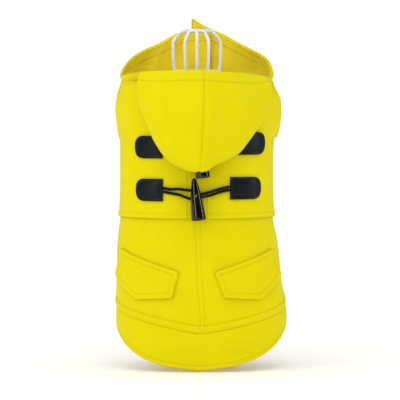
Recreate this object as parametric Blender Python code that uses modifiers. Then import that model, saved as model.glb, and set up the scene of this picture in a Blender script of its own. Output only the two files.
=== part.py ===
"""Dog jacket with its hood worn down, on a wire dress form.

The wearer's back faces -Y, its chest +Y, and its neck is at the top. The origin is on the ground, under the
middle of the whole. Lengths are millimetres until a mesh is made, which is in metres.

The jacket's pieces share one body surface. A place on it has two coordinates: girth, which runs round the
body from 0 at the middle of the back to 1 (right) or -1 (left) at the middle of the chest, and height. Each
piece is a grid of such places, moved out along the surface's normal by its layer's distance, and given its
thickness by Solidify.
"""

from collections import namedtuple
import functools
import math

import bpy
import numpy as np

MM = 0.001
GAP = 0.4
SPAN_STEPS = 24
FRAME_SHIFT = np.array([-2.85, 3.7, 0.0])

# Cloth, from the body surface outwards. Each layer is the middle of its wall.
CLOTH = 2.0
YOKE_CLOTH = 1.8
YOKE_OUT = CLOTH / 2 + GAP + YOKE_CLOTH / 2
PLACKET_CLOTH = 1.2
PLACKET_OUT = YOKE_OUT + YOKE_CLOTH / 2 + GAP + PLACKET_CLOTH / 2
TAB_LEATHER = 1.3
TAB_OUT = YOKE_OUT + YOKE_CLOTH / 2 + 0.65 + TAB_LEATHER / 2
FLAP_CLOTH = 1.8
FLAP_OUT = CLOTH / 2 + 0.6 + FLAP_CLOTH / 2
HOOD_CLOTH = 1.8

# Body section: a superellipse, squarer than an ellipse, as deep as this share of its width.
SQUARENESS = 2.5
DEPTH_SHARE = 0.80
# At the yoke's height the middle of the back lies this far to the left of the middle of the whole.
YOKE_SWAY = 1.4

BodyRow = namedtuple("BodyRow", "height half_width sway lean belly")
BODY = (
    BodyRow(0, 82.0, 1.0, 3.0, 1.00),
    BodyRow(25, 84.8, 2.6, 1.0, 0.98),
    BodyRow(53, 85.8, 3.4, 0.0, 0.96),
    BodyRow(72, 85.0, 2.2, 0.0, 0.94),
    BodyRow(96, 83.0, 0.5, 0.0, 0.93),
    BodyRow(127, 80.2, -0.6, 0.0, 0.94),
    BodyRow(150, 77.4, -1.4, 0.0, 0.97),
    BodyRow(164, 75.8, -1.4, 0.0, 1.00),
    BodyRow(199, 75.2, -1.4, 0.5, 1.06),
    BodyRow(246, 75.2, -1.4, 1.5, 1.08),
    BodyRow(268, 76.6, -1.4, 3.3, 1.00),
    BodyRow(281, 76.2, -1.3, 5.3, 0.91),
    BodyRow(289, 74.8, -1.2, 8.4, 0.80),
    BodyRow(295, 72.5, -1.0, 11.5, 0.69),
    BodyRow(305, 66.0, -1.0, 16.0, 0.52),
)

# Edges of the body's pieces.
HemRow = namedtuple("HemRow", "reach height")
HEM = (
    HemRow(0, 1.5),
    HemRow(32, 5.2),
    HemRow(54, 11.0),
    HemRow(67, 16.8),
    HemRow(78, 22.6),
    HemRow(87, 28.0),
    HemRow(96, 33.2),
    HemRow(106, 38.4),
    HemRow(125, 47.0),
    HemRow(142, 55.0),
    HemRow(188, 84.0),
    HemRow(245, 103.0),
)
BAND_HEIGHT = 40.0
BAND_RISE = 0.23
BAND_ROUNDING = 10.0
# The body's half width where the hem and the band's seam run, by which girth becomes a distance round it.
HEM_HALF_WIDTH = 84.0
BAND_HALF_WIDTH = 83.0
YOKE_EDGE = 154.0
NECKLINE = 290.5
NECKLINE_DIP = 1.5
YOKE_BELOW_NECK = 1.6
SIDE_SEAM = 0.56
RIGHT_LAP = 7.0
LEFT_LAP = 18.0
LAP_LIFT = CLOTH + 0.6
HOOD_LAP_LIFT = 3.1
LAP_START = 0.81
LAP_FULL = 0.90
BACK_SEAM_X = -1.0

# Armhole and sleeve.
ARM_HEIGHT = 258.0
ARM_RISE = 25.0
ARM_REACH = 24.0
ARM_STEPS = 8
SLEEVE_CLOTH = 1.8
SLEEVE_FRONT_DROP = 1.5
SLEEVE_REACH = 38.0
SleeveEnd = namedtuple("SleeveEnd", "x y z radius tilt_deg collar_out bulge")
SLEEVE_ENDS = {
    1: SleeveEnd(60.5, 86.0, 247.0, 21.5, 20.0, 4.0, 38.0),
    -1: SleeveEnd(-61.0, 88.0, 250.0, 21.5, 20.0, 3.6, 20.0),
}

# Hood, worn down. Its section in each upright plane through the middle runs from the neck seam over the
# shoulder, down the back, round the fold and up to the rim. Azimuth is 0 at the back and 180 at the chest.
HOOD_CENTRE = (-1.4, 2.0)
HoodRow = namedtuple("HoodRow", "azimuth fold_left fold_right rim_reach rim_left rim_right")
HOOD = (
    HoodRow(0, 202.2, 202.2, 97.5, 303.5, 303.5),
    HoodRow(5, 202.5, 202.9, 97.4, 303.5, 303.1),
    HoodRow(10, 205.0, 208.0, 97.0, 303.5, 302.5),
    HoodRow(20, 213.0, 213.0, 94.5, 303.0, 301.5),
    HoodRow(30, 231.0, 220.0, 89.5, 302.5, 300.5),
    HoodRow(35, 246.0, 227.5, 86.5, 302.0, 299.8),
    HoodRow(40, 265.0, 236.0, 84.0, 301.5, 299.0),
    HoodRow(44, 280.0, 243.5, 82.2, 301.1, 298.6),
    HoodRow(47, 287.0, 249.5, 81.1, 300.8, 298.3),
    HoodRow(50, 287.0, 255.5, 80.0, 300.5, 298.0),
    HoodRow(55, 287.0, 267.5, 78.7, 300.0, 297.5),
    HoodRow(60, 287.0, 280.0, 77.8, 299.5, 297.0),
    HoodRow(66, 287.0, 287.0, 77.3, 298.7, 296.3),
    HoodRow(75, 287.0, 287.0, 77.0, 298.0, 296.5),
    HoodRow(88, 287.0, 287.0, 76.4, 299.5, 301.0),
    HoodRow(98, 287.0, 287.0, 75.0, 306.0, 311.0),
    HoodRow(110, 287.0, 287.0, 71.5, 315.0, 318.5),
    HoodRow(125, 287.0, 287.0, 66.5, 324.0, 325.5),
    HoodRow(140, 287.0, 287.0, 61.0, 331.0, 334.0),
    HoodRow(150, 287.0, 287.0, 57.5, 337.0, 340.0),
    HoodRow(160, 287.0, 287.0, 54.5, 342.5, 344.0),
    HoodRow(170, 287.0, 287.0, 52.0, 345.0, 349.0),
    HoodRow(180, 287.0, 287.0, 50.5, 346.0, 354.5),
    HoodRow(184, 287.0, 287.0, 50.5, 346.0, 357.0),
    HoodRow(188, 287.0, 287.0, 50.5, 346.0, 355.0),
    HoodRow(200, 287.0, 287.0, 51.0, 345.0, 353.0),
)
HOOD_AZIMUTHS_DEG = (
    *(0, 5, 11, 17, 23, 29, 35, 41, 46, 51, 56),
    *(61, 67, 74, 83, 93, 105, 119, 134, 149, 161, 173),
)
HOOD_STATIONS = (0, 1, 2, 3, 4, 5, 6, 7, 7.5, 8, 8.5, 9, 10, 11, 12)
HOOD_SEAM_LEAN_DEG = 4.6
HOOD_SEAM_GAP = 0.4
HOOD_OVER_YOKE = 5.0
HOOD_OVER_TABS = 6.9
TOGGLE_BUMP = 15.8
TOGGLE_BUMP_WIDTH = 23.0
FOLD_RADIUS = 6.5
POUCH_SWELL = 7.0
FOLD_DEEPENS_IN = 24.0
SHALLOW_BULGE = 1.6
SHALLOW_FOOT_LIFT = 0.6
SHOULDER_FOLD = 287.0
COLLAR_STARTS_DEG = 86.0
COLLAR_STANDS_DEG = 120.0

# Pocket flap corners, as distances round the body from the back seam and heights.
FlapCorner = namedtuple("FlapCorner", "reach height")
FLAP_INNER_TOP = FlapCorner(17.5, 101.3)
FLAP_OUTER_TOP = FlapCorner(84.5, 123.0)
FLAP_OUTER_POINT = FlapCorner(99.0, 96.0)
FLAP_OUTER_BOTTOM = FlapCorner(63.5, 72.6)
FLAP_INNER_BOTTOM = FlapCorner(26.0, 75.0)
FLAP_CENTRE_X = -1.5

# Toggle fastenings: a D-shaped tab each side, a cord loop from the left one and a tether from the right one.
Fastening = namedtuple(
    "Fastening",
    "left_reach left_height left_length right_reach right_height right_length toggle_x toggle_z",
)
FASTENINGS = {
    "lower": Fastening(-34.2, 183.0, 28.8, 31.2, 184.8, 33.5, -1.6, 174.3),
    "upper": Fastening(-34.5, 226.0, 29.5, 34.0, 229.6, 36.0, 2.3, 216.7),
}
TAB_HEIGHT = 22.6
TAB_END = 11.0
TAB_ROUNDNESS = 2.6
CORD = 2.8
CORD_REST_OUT = YOKE_OUT + YOKE_CLOTH / 2 + GAP + CORD / 2
CORD_OVER_PLACKET_OUT = PLACKET_OUT + PLACKET_CLOTH / 2 + GAP + CORD / 2
TOGGLE_OUT = 14.2
TOGGLE_LEAN_DEG = 7.0
TOGGLE_EYE = 3.2
TOGGLE_EYE_RISE = 3.5
ToggleRow = namedtuple("ToggleRow", "radius height")
TOGGLE = (
    ToggleRow(0.0, 21.3),
    ToggleRow(1.4, 20.8),
    ToggleRow(2.3, 19.2),
    ToggleRow(3.4, 15.0),
    ToggleRow(4.8, 7.5),
    ToggleRow(6.0, -2.5),
    ToggleRow(6.8, -12.0),
    ToggleRow(7.3, -18.8),
    ToggleRow(7.1, -20.6),
    ToggleRow(6.2, -21.3),
    ToggleRow(0.0, -21.3),
)
PLACKET_LEFT = -12.5
PLACKET_RIGHT = 10.5

# Wire dress form.
WIRE = 3.2
WIRE_OUT = -(CLOTH / 2 + 0.6 + WIRE / 2)
HOOP_OUT = WIRE_OUT - WIRE - 0.6
FORM_GIRTHS = (0.0, 0.25, 0.5, 0.75, 1.0, -0.75, -0.5, -0.25)
NECK_AZIMUTHS_DEG = (0, 30, 90, 150, 180, -150, -90, -30)
HOOP_HEIGHTS = {"chest_hoop": 226.0, "waist_hoop": 150.0, "hip_hoop": 96.0}
NECK_CENTRE_X = -1.2
NECK_CENTRE_Y = 2.0
NECK_RADIUS = 23.9
NECK_FOOT = 296.0
NECK_TOP = 332.0
NECK_HOOP_HEIGHT = 302.0
NECK_HOOP_RADIUS = 20.8
CROWN_RADIUS = 13.0
CROWN_TOP = 345.3
CROWN_THICKNESS = 4.0
FORM_SHOULDER = 284.0
BASE_RADIUS = 36.0
BASE_DEPTH_RADIUS = 34.0
BASE_WIDTH = 7.0
BASE_THICKNESS = 3.6
FOOT_GAP = 1.2
BASE_CENTRE_Y = 4.0
TAPER_TOP = 92.0
TAPER_FOOT = -22.0
WIRE_HEIGHTS = (0.0, 14.0, 32.0, 54.0, 76.0, 100.0, 130.0, 165.0, 205.0, 245.0, 268.0)
# Under the shoulder the wires lie this much further in from the cloth.
SHOULDER_DRAW = 2.6

# Colours: base colour, roughness, metallic.
Finish = namedtuple("Finish", "colour roughness metallic")
FINISHES = {
    "yellow_cloth": Finish((0.86, 0.70, 0.004), 0.55, 0.0),
    "black_leather": Finish((0.012, 0.014, 0.017), 0.45, 0.0),
    "black_cord": Finish((0.010, 0.010, 0.012), 0.75, 0.0),
    "black_horn": Finish((0.008, 0.008, 0.009), 0.12, 0.0),
    "white_wire": Finish((0.80, 0.82, 0.84), 0.35, 0.0),
}


# ---------------------------------------------------------------- curves and the body surface


def read_table(at, stations, values):
    """A smooth curve through a table's rows that never overshoots them (monotone cubic), read at places."""
    x, y = np.asarray(stations, float), np.asarray(values, float)
    step = np.diff(x)
    rise = np.diff(y) / step
    before, after = rise[:-1], rise[1:]
    same_way = before * after > 0
    total = np.where(same_way, before + after, 1.0)
    slope = np.concatenate([rise[:1], np.where(same_way, 2 * before * after / total, 0.0), rise[-1:]])
    at = np.clip(np.asarray(at, float), x[0], x[-1])
    k = np.clip(np.searchsorted(x, at, side="right") - 1, 0, len(step) - 1)
    t, h = (at - x[k]) / step[k], step[k]
    start = (1 + 2 * t) * (1 - t) ** 2 * y[k] + t * (1 - t) ** 2 * h * slope[k]
    end = t**2 * (3 - 2 * t) * y[k + 1] - t**2 * (1 - t) * h * slope[k + 1]
    return start + end


def ease(value, low, high):
    """0 below low, 1 above high, and a smooth step between."""
    t = np.clip((np.asarray(value, float) - low) / (high - low), 0.0, 1.0)
    return t * t * (3 - 2 * t)


def unit_section():
    """Half of the unit section, from the back to the chest: evenly measured girth, x, y and its length."""
    turn = np.linspace(0.0, math.pi, 4001)
    x = np.abs(np.sin(turn)) ** (2 / SQUARENESS)
    y = -np.sign(np.cos(turn)) * np.abs(np.cos(turn)) ** (2 / SQUARENESS) * DEPTH_SHARE
    length = np.concatenate([[0.0], np.cumsum(np.hypot(np.diff(x), np.diff(y)))])
    return length / length[-1], x, y, length[-1]


SECTION_GIRTH, SECTION_X, SECTION_Y, SECTION_HALF = unit_section()
HEIGHTS = [row.height for row in BODY]


def body_column(height, name):
    return read_table(height, HEIGHTS, [getattr(row, name) for row in BODY])


def body_base(girth, height):
    """The body surface itself: the unit section, scaled and shifted by the body's table at that height."""
    girth, height = np.broadcast_arrays(np.asarray(girth, float), np.asarray(height, float))
    wrapped = girth - 2 * np.round(girth / 2)
    x = np.sign(wrapped) * np.interp(np.abs(wrapped), SECTION_GIRTH, SECTION_X)
    y = np.interp(np.abs(wrapped), SECTION_GIRTH, SECTION_Y)
    half_width = body_column(height, "half_width")
    y = np.where(y > 0, y * body_column(height, "belly"), y)
    x = body_column(height, "sway") + half_width * x
    y = body_column(height, "lean") + half_width * y
    return np.stack([x, y, height], axis=-1)


def body_normal(girth, height):
    """The outward unit normal, from the surface's slopes round and up the body."""
    round_step, up_step = 0.004, 0.5
    around = body_base(girth + round_step, height) - body_base(girth - round_step, height)
    up = body_base(girth, height + up_step) - body_base(girth, height - up_step)
    normal = np.cross(around, up)
    return normal / np.linalg.norm(normal, axis=-1, keepdims=True)


def on_body(girth, height, out):
    """Places on the body surface, moved out along its normal."""
    girth, height = np.broadcast_arrays(np.asarray(girth, float), np.asarray(height, float))
    out = np.asarray(out, float)
    return body_base(girth, height) + body_normal(girth, height) * out[..., None]


def girth_of(reach, height):
    """The girth that lies this many millimetres round the body from the middle of the back."""
    return np.asarray(reach, float) / (SECTION_HALF * body_column(height, "half_width"))


def tail_hem(girth):
    """The jacket's lower edge: lowest at the back, and highest under the chest."""
    reach = np.abs(girth - 2 * np.round(np.asarray(girth) / 2)) * SECTION_HALF * HEM_HALF_WIDTH
    return read_table(reach, [row.reach for row in HEM], [row.height for row in HEM])


def band_seam(girth):
    """The curved seam of the hem band, which rises evenly from a rounded low point at the back."""
    reach = np.abs(girth) * SECTION_HALF * BAND_HALF_WIDTH
    return BAND_HEIGHT + BAND_RISE * (np.hypot(reach, BAND_ROUNDING) - BAND_ROUNDING)


def neckline(girth):
    return NECKLINE + NECKLINE_DIP * np.cos(math.pi * np.asarray(girth, float))


def lap_lift(girth, side):
    """How far the right chest piece stands out where it laps over the left one."""
    return LAP_LIFT * ease(np.abs(girth), LAP_START, LAP_FULL) * (side > 0)


def chest_end(side):
    """The girth where this side's chest pieces end, past the middle of the chest."""
    lap = RIGHT_LAP if side > 0 else LEFT_LAP
    return 1.0 + float(girth_of(lap, 250.0))


# ---------------------------------------------------------------- meshes


def material(name):
    made = bpy.data.materials.get(name)
    if made is None:
        made = bpy.data.materials.new(name)
        made.use_nodes = True
        shader = made.node_tree.nodes["Principled BSDF"]
        finish = FINISHES[name]
        shader.inputs["Base Color"].default_value = (*finish.colour, 1.0)
        shader.inputs["Roughness"].default_value = finish.roughness
        shader.inputs["Metallic"].default_value = finish.metallic
    return made


def add_object(name, data, finish, collection):
    made = bpy.data.objects.new(name, data)
    collection.objects.link(made)
    data.materials.append(material(finish))
    return made


def grid_mesh(name, points, closed_across=False):
    """An open surface from a grid, rows by columns. closed_across joins the last column to the first."""
    rows, columns = points.shape[:2]
    across = columns if closed_across else columns - 1
    row, column = np.meshgrid(np.arange(rows - 1), np.arange(across), indexing="ij")
    beside = (column + 1) % columns
    low, high = row * columns, (row + 1) * columns
    corners = [low + column, low + beside, high + beside, high + column]
    faces = np.stack(corners, axis=-1).reshape(-1, 4)
    mesh = bpy.data.meshes.new(name)
    mesh.from_pydata(((points.reshape(-1, 3) + FRAME_SHIFT) * MM).tolist(), [], faces.tolist())
    mesh.shade_smooth()
    return mesh


def cloth(name, points, thickness, collection, finish="yellow_cloth", closed_across=False):
    """A piece of cloth: the grid is the middle of its wall, and Solidify thickens it equally both ways."""
    made = add_object(name, grid_mesh(name, points, closed_across), finish, collection)
    wall = made.modifiers.new("wall", "SOLIDIFY")
    wall.thickness = thickness * MM
    wall.offset = 0.0
    wall.use_even_offset = True
    wall.use_quality_normals = True
    return made


def tube(name, line, diameter, finish, collection, cyclic=False):
    """A round cord or wire along a line of points."""
    curve = bpy.data.curves.new(name, "CURVE")
    curve.dimensions = "3D"
    curve.bevel_depth = diameter / 2 * MM
    curve.bevel_resolution = 2
    curve.use_fill_caps = not cyclic
    spline = curve.splines.new("POLY")
    spline.points.add(len(line) - 1)
    for point, place in zip(spline.points, (np.asarray(line) + FRAME_SHIFT) * MM):
        point.co = (*place, 1.0)
    spline.use_cyclic_u = cyclic
    return add_object(name, curve, finish, collection)


def smooth_line(points):
    """A smooth line through places (centripetal Catmull-Rom), with SPAN_STEPS steps from each to the next."""
    p = np.asarray(points, float)
    padded = np.vstack([2 * p[0] - p[1], p, 2 * p[-1] - p[-2]])
    pieces = []
    for a, b, c, d in zip(padded[:-3], padded[1:-2], padded[2:-1], padded[3:]):
        ta, tb = 0.0, max(np.linalg.norm(b - a), 1e-6) ** 0.5
        tc = tb + max(np.linalg.norm(c - b), 1e-6) ** 0.5
        td = tc + max(np.linalg.norm(d - c), 1e-6) ** 0.5
        t = np.linspace(tb, tc, SPAN_STEPS, endpoint=False)[:, None]
        ab = (tb - t) / (tb - ta) * a + (t - ta) / (tb - ta) * b
        bc = (tc - t) / (tc - tb) * b + (t - tb) / (tc - tb) * c
        cd = (td - t) / (td - tc) * c + (t - tc) / (td - tc) * d
        abc = (tc - t) / (tc - ta) * ab + (t - ta) / (tc - ta) * bc
        bcd = (td - t) / (td - tb) * bc + (t - tb) / (td - tb) * cd
        pieces.append((tc - t) / (tc - tb) * abc + (t - tb) / (tc - tb) * bcd)
    return np.vstack([*pieces, p[-1:]])


def spline_through(points, count):
    """The smooth line above as count places, evenly spaced along it."""
    dense = smooth_line(points)
    length = np.concatenate([[0.0], np.cumsum(np.linalg.norm(np.diff(dense, axis=0), axis=1))])
    at = np.linspace(0.0, length[-1], count)
    return np.stack([np.interp(at, length, dense[:, k]) for k in range(dense.shape[1])], axis=-1)


# ---------------------------------------------------------------- body panels, yoke and hem band


def arm_bite(height):
    """How far the armhole cuts into a panel's side edge at each height, as girth."""
    inside = np.clip(1 - ((height - ARM_HEIGHT) / ARM_RISE) ** 2, 0.0, 1.0)
    return girth_of(ARM_REACH, ARM_HEIGHT) * np.sqrt(inside)


def upper_heights():
    """The rows that the yoke and the panels share: even below the armhole, and at its own steps beside it."""
    arm = [ARM_HEIGHT - ARM_RISE * math.cos(math.pi * k / ARM_STEPS) for k in range(ARM_STEPS + 1)]
    return np.array([YOKE_EDGE, 172.0, 192.0, 213.0, *arm])


def panel_grid(side, start, across, heights):
    """Girths and heights of a back panel's grid: across columns from start, which bend round the armhole."""
    seam = float(girth_of(GAP / 2, 250.0))
    share = np.linspace(0.0, 1.0, across + 1)[None, :]
    rows = heights if heights.ndim == 2 else np.repeat(heights[:, None], across + 1, axis=1)
    girth = start + (SIDE_SEAM - seam - start) * share - arm_bite(rows) * share**3
    return side * girth, rows


def with_neckline(side, start, across, heights, below=0.0):
    """The grid above, closed at the top by a row along the neckline, or just below it."""
    girth, rows = panel_grid(side, start, across, heights)
    top = girth[-1:] * 1.0
    return np.vstack([girth, top]), np.vstack([rows, neckline(top) - below])


def back_start(side):
    """Where this side's back panel starts: at the back seam, less half its gap."""
    return float(girth_of(side * BACK_SEAM_X + GAP / 2, 200.0))


def make_back_panel(side, collection):
    """From the hem band's seam to the neckline and the armhole, and from the back seam to the side seam."""
    across, lower_rows = 14, 5
    start = back_start(side)
    girth_low, _ = panel_grid(side, start, across, np.array([60.0]))
    lowest = band_seam(girth_low) + GAP / 2
    share = np.linspace(0.0, 1.0, lower_rows + 1)[:-1, None]
    lower = lowest + (YOKE_EDGE - lowest) * share
    girth_upper, height_upper = with_neckline(side, start, across, upper_heights())
    girth = np.vstack([np.repeat(girth_low, lower_rows, axis=0), girth_upper])
    height = np.vstack([lower, height_upper])
    return cloth(f"back_{word(side)}", faced(on_body(girth, height, 0.0 * girth), side), CLOTH, collection)


def make_yoke(side, collection):
    """The cape over the shoulders, laid over the back panel on the panel's own places."""
    start = back_start(side)
    girth, height = with_neckline(side, start, 14, upper_heights(), YOKE_BELOW_NECK)
    points = on_body(girth, height, 0.0 * girth + YOKE_OUT)
    return cloth(f"yoke_{word(side)}", faced(points, side), YOKE_CLOTH, collection)


def make_hem_band(collection):
    """One piece across the back, from side seam to side seam, between the curved seam and the hem."""
    seam = float(girth_of(GAP / 2, 60.0))
    girth = np.linspace(-SIDE_SEAM + seam, SIDE_SEAM - seam, 29)[None, :]
    top = band_seam(girth) - GAP / 2
    bottom = tail_hem(girth)
    share = np.linspace(0.0, 1.0, 4)[:, None]
    height = bottom + (top - bottom) * share
    girth = np.repeat(girth, 4, axis=0)
    return cloth("hem_band", on_body(girth, height, 0.0 * girth), CLOTH, collection)


def make_belly_panel(side, collection):
    """From the side seam and the armhole to the chest, where the right one laps over the left one."""
    across, lower_rows = 11, 5
    seam = float(girth_of(GAP / 2, 250.0))
    end = chest_end(side)
    share = np.linspace(0.0, 1.0, across + 1)[None, :]
    girth_low = SIDE_SEAM + seam + (end - SIDE_SEAM - seam) * share
    arm_rows = np.repeat(upper_heights()[:, None], across + 1, axis=1)
    girth_upper = girth_low + arm_bite(arm_rows) * (1 - share) ** 3
    lowest = tail_hem(girth_low)
    rise = np.linspace(0.0, 1.0, lower_rows + 1)[:-1, None]
    lower = lowest + (YOKE_EDGE - lowest) * rise
    girth = np.vstack([np.repeat(girth_low, lower_rows, axis=0), girth_upper, girth_upper[-1:]])
    height = np.vstack([lower, arm_rows, neckline(girth_upper[-1:])])
    points = on_body(side * girth, height, lap_lift(girth, side))
    return cloth(f"belly_{word(side)}", faced(points, side), CLOTH, collection)


def make_placket(collection):
    """The strip down the middle of the yoke, with its lower end just above the yoke's edge."""
    heights = np.array([YOKE_EDGE + 0.6, *upper_heights()[[1, 2, 3, 4, 7, 8, 9, 10]]])[:, None]
    reach = np.array([PLACKET_LEFT, -5.0, 3.0, PLACKET_RIGHT])[None, :]
    girth = girth_of(reach + YOKE_SWAY, heights)
    points = on_body(girth, heights + 0.0 * girth, 0.0 * girth + PLACKET_OUT)
    return cloth("yoke_placket", points, PLACKET_CLOTH, collection)


# ---------------------------------------------------------------- sleeves


def make_sleeve(side, collection):
    """A short tube. It leaves the armhole square to the body, then bends to its cuff along a cubic."""
    turn = np.linspace(0.0, 2 * math.pi, 2 * ARM_STEPS, endpoint=False)
    inset = GAP + SLEEVE_CLOTH / 2
    height = ARM_HEIGHT + (ARM_RISE - inset) * np.cos(turn)
    girth = side * (SIDE_SEAM + girth_of(ARM_REACH - inset, ARM_HEIGHT) * np.sin(turn))
    root = on_body(girth, height, 0.0 * girth - CLOTH / 2)
    front = 0.5 + 0.5 * np.sin(turn)
    end = SLEEVE_ENDS[side]
    shoulder = on_body(girth, height, end.collar_out - SLEEVE_FRONT_DROP * front)
    normal = body_normal(girth, height)
    tilt = math.radians(end.tilt_deg)
    way = np.array([0.03 * side, math.cos(tilt), -math.sin(tilt)])
    up = np.array([0.0, math.sin(tilt), math.cos(tilt)])
    # The back of the armhole (small girth) becomes the outer side of the cuff.
    across = np.array([-side * 1.0, 0.0, 0.0])
    cuff = np.array([end.x, end.y, end.z]) + end.radius * (
        np.cos(turn)[:, None] * up + np.sin(turn)[:, None] * across
    )
    rings = [root, shoulder]
    for t in np.linspace(0.0, 1.0, 6)[1:]:
        rings.append(
            (1 + 2 * t) * (1 - t) ** 2 * shoulder
            + t * (1 - t) ** 2 * end.bulge * (1 - 0.25 * front)[:, None] * normal
            + t**2 * (3 - 2 * t) * cuff
            - t**2 * (1 - t) * SLEEVE_REACH * way
        )
    points = np.array(rings)
    return cloth(f"sleeve_{word(side)}", faced(points, side), SLEEVE_CLOTH, collection, closed_across=True)


# ---------------------------------------------------------------- hood


@functools.lru_cache(maxsize=None)
def section_round(height, out):
    """An offset body section as seen from the hood's centre: azimuths, distances and heights round it."""
    places = on_body(np.linspace(-1.0, 1.0, 361), height, out)
    x, y = places[:, 0] - HOOD_CENTRE[0], places[:, 1] - HOOD_CENTRE[1]
    return np.arctan2(x, -y), np.hypot(x, y), places[:, 2]


def over_body(azimuth, height, out):
    """The place over the body at this azimuth, as its distance from the hood's centre and its height."""
    angles, reach, level = section_round(round(float(height), 2), round(float(out), 2))
    turn = 2 * math.pi
    return np.array([np.interp(azimuth, angles, values, period=turn) for values in (reach, level)])


def hood_column(azimuth_deg, name):
    return float(read_table(azimuth_deg, [row.azimuth for row in HOOD], [getattr(row, name) for row in HOOD]))


def hood_section(azimuth_deg, side, lift):
    """The hood's section in one upright plane, as places (reach, height) from the neck seam to the rim.

    Deep, shallow and standing sections have the same number of places, so one passes smoothly into the next.
    """
    azimuth = side * math.radians(azimuth_deg)
    seam = float(neckline(azimuth_deg / 180))
    fold = hood_column(azimuth_deg, f"fold_{word(side)}") + HOOD_CLOTH / 2
    rim_height = hood_column(azimuth_deg, f"rim_{word(side)}")
    rim = np.array([hood_column(azimuth_deg, "rim_reach") + lift, rim_height])
    drop = SHOULDER_FOLD - fold
    deepness = float(ease(drop, 0.0, FOLD_DEEPENS_IN))
    stands = float(ease(azimuth_deg, COLLAR_STARTS_DEG, COLLAR_STANDS_DEG))
    foot = over_body(azimuth, seam + 0.65 + SHALLOW_FOOT_LIFT * (1 - deepness) * (1 - stands), 1.0 + lift)
    rise = over_body(azimuth, seam + 3.2, 1.2 + lift)
    roll = rise + np.array([1.4, 2.0])

    def over(height, out):
        return over_body(azimuth, height, out + lift)

    beside = abs(over(246.0, 0.0)[0] * math.sin(azimuth))
    bump = TOGGLE_BUMP * math.exp(-((beside / TOGGLE_BUMP_WIDTH) ** 2))
    radius = 2.5 + (FOLD_RADIUS - 2.5) * deepness
    near_fold = over(fold + radius, HOOD_OVER_TABS + bump)
    near_wall = near_fold + np.array([2 * radius, 0.0])
    swell = np.array([POUCH_SWELL * deepness, 0.0])
    deep = [
        foot,
        rise,
        roll,
        over(289.8, 7.4),
        over(285.5, HOOD_OVER_YOKE + 1.0),
        over(284.0 - 0.30 * drop, HOOD_OVER_TABS + 0.30 * bump),
        over(284.0 - 0.62 * drop, HOOD_OVER_TABS + 0.80 * bump),
        near_fold,
        np.array([near_fold[0] + radius, fold]),
        near_wall,
        near_wall + 0.36 * (rim - near_wall) + 0.8 * swell,
        near_wall + 0.70 * (rim - near_wall) + swell,
        rim,
    ]
    share = np.linspace(0.0, 1.0, len(deep))[:, None]
    shallow = foot + (rim - foot) * share + SHALLOW_BULGE * np.sin(math.pi * share) * np.array([1.0, 0.0])
    standing = foot + (rim - foot) * share + 2.5 * np.sin(math.pi * share) * np.array([1.0, 0.0])
    lying = (1 - deepness) * shallow + deepness * np.array(deep)
    return (1 - stands) * lying + stands * standing


def make_hood(side, collection):
    """Half of the hood, from its middle seam to the chest. The seam leans to the right towards the rim."""
    rows = len(HOOD_STATIONS)
    stations = [round(station * SPAN_STEPS) for station in HOOD_STATIONS]
    end = 180.0 * chest_end(side)
    azimuths = [*HOOD_AZIMUTHS_DEG, 0.5 * (HOOD_AZIMUTHS_DEG[-1] + end), end]
    points = np.empty((rows, len(azimuths), 3))
    for c, azimuth_deg in enumerate(azimuths):
        lift = float(lap_lift(azimuth_deg / 180, side)) * HOOD_LAP_LIFT / LAP_LIFT
        line = smooth_line(hood_section(azimuth_deg, side, lift))[stations]
        near_seam = max(0.0, 1 - azimuth_deg / 55) ** 2
        for r in range(rows):
            lean = HOOD_SEAM_LEAN_DEG * float(ease(r / (rows - 1), 0.45, 1.0)) * near_seam
            seam_gap = side * math.degrees(HOOD_SEAM_GAP / 2 / line[r, 0]) * near_seam
            turn = math.radians(side * azimuth_deg + lean + seam_gap)
            x = HOOD_CENTRE[0] + line[r, 0] * math.sin(turn)
            y = HOOD_CENTRE[1] - line[r, 0] * math.cos(turn)
            points[r, c] = x, y, line[r, 1]
    return cloth(f"hood_{word(side)}", faced(points, side), HOOD_CLOTH, collection)


# ---------------------------------------------------------------- pockets and fastenings


def make_pocket_flap(side, collection):
    """Five-sided flap. Columns run from its inner to its outer edge, and rows from its lower edge up."""
    across, rows, corner = 9, 5, 5
    top = lerp_corner(FLAP_INNER_TOP, FLAP_OUTER_TOP, np.linspace(0.0, 1.0, across + 1))
    first = lerp_corner(FLAP_INNER_BOTTOM, FLAP_OUTER_BOTTOM, np.linspace(0.0, 1.0, corner + 1))
    second = lerp_corner(FLAP_OUTER_BOTTOM, FLAP_OUTER_POINT, np.linspace(0.0, 1.0, across - corner + 1)[1:])
    bottom = np.vstack([first, second])
    rise = np.linspace(0.0, 1.0, rows + 1)[:, None, None]
    places = bottom[None] + (top - bottom)[None] * rise
    reach, height = places[..., 0] + side * FLAP_CENTRE_X, places[..., 1]
    girth = side * girth_of(reach, height)
    points = on_body(girth, height, 0.0 * girth + FLAP_OUT)
    return cloth(f"pocket_flap_{word(side)}", faced(points, side), FLAP_CLOTH, collection)


def lerp_corner(start, end, share):
    """Flat places (reach, height) on the straight line between two corners."""
    return np.array(start) + (np.array(end) - np.array(start)) * share[:, None]


def make_tab(name, inner, length, middle, side, collection):
    """D-shaped leather tab: straight towards the middle, and a rounded outer end."""
    across, rows = 3, 8
    rise = -np.cos(np.linspace(0.0, math.pi, rows + 1))[:, None]
    drawn_in = TAB_END * (1 - (1 - np.abs(rise) ** TAB_ROUNDNESS) ** (1 / TAB_ROUNDNESS))
    reach = inner + side * (length - drawn_in) * np.linspace(0.0, 1.0, across + 1)[None, :]
    height = middle + TAB_HEIGHT / 2 * rise + 0.0 * reach
    girth = girth_of(reach + YOKE_SWAY, height)
    points = on_body(girth, height, 0.0 * girth + TAB_OUT)
    return cloth(name, faced(points, side), TAB_LEATHER, collection, finish="black_leather")


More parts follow.
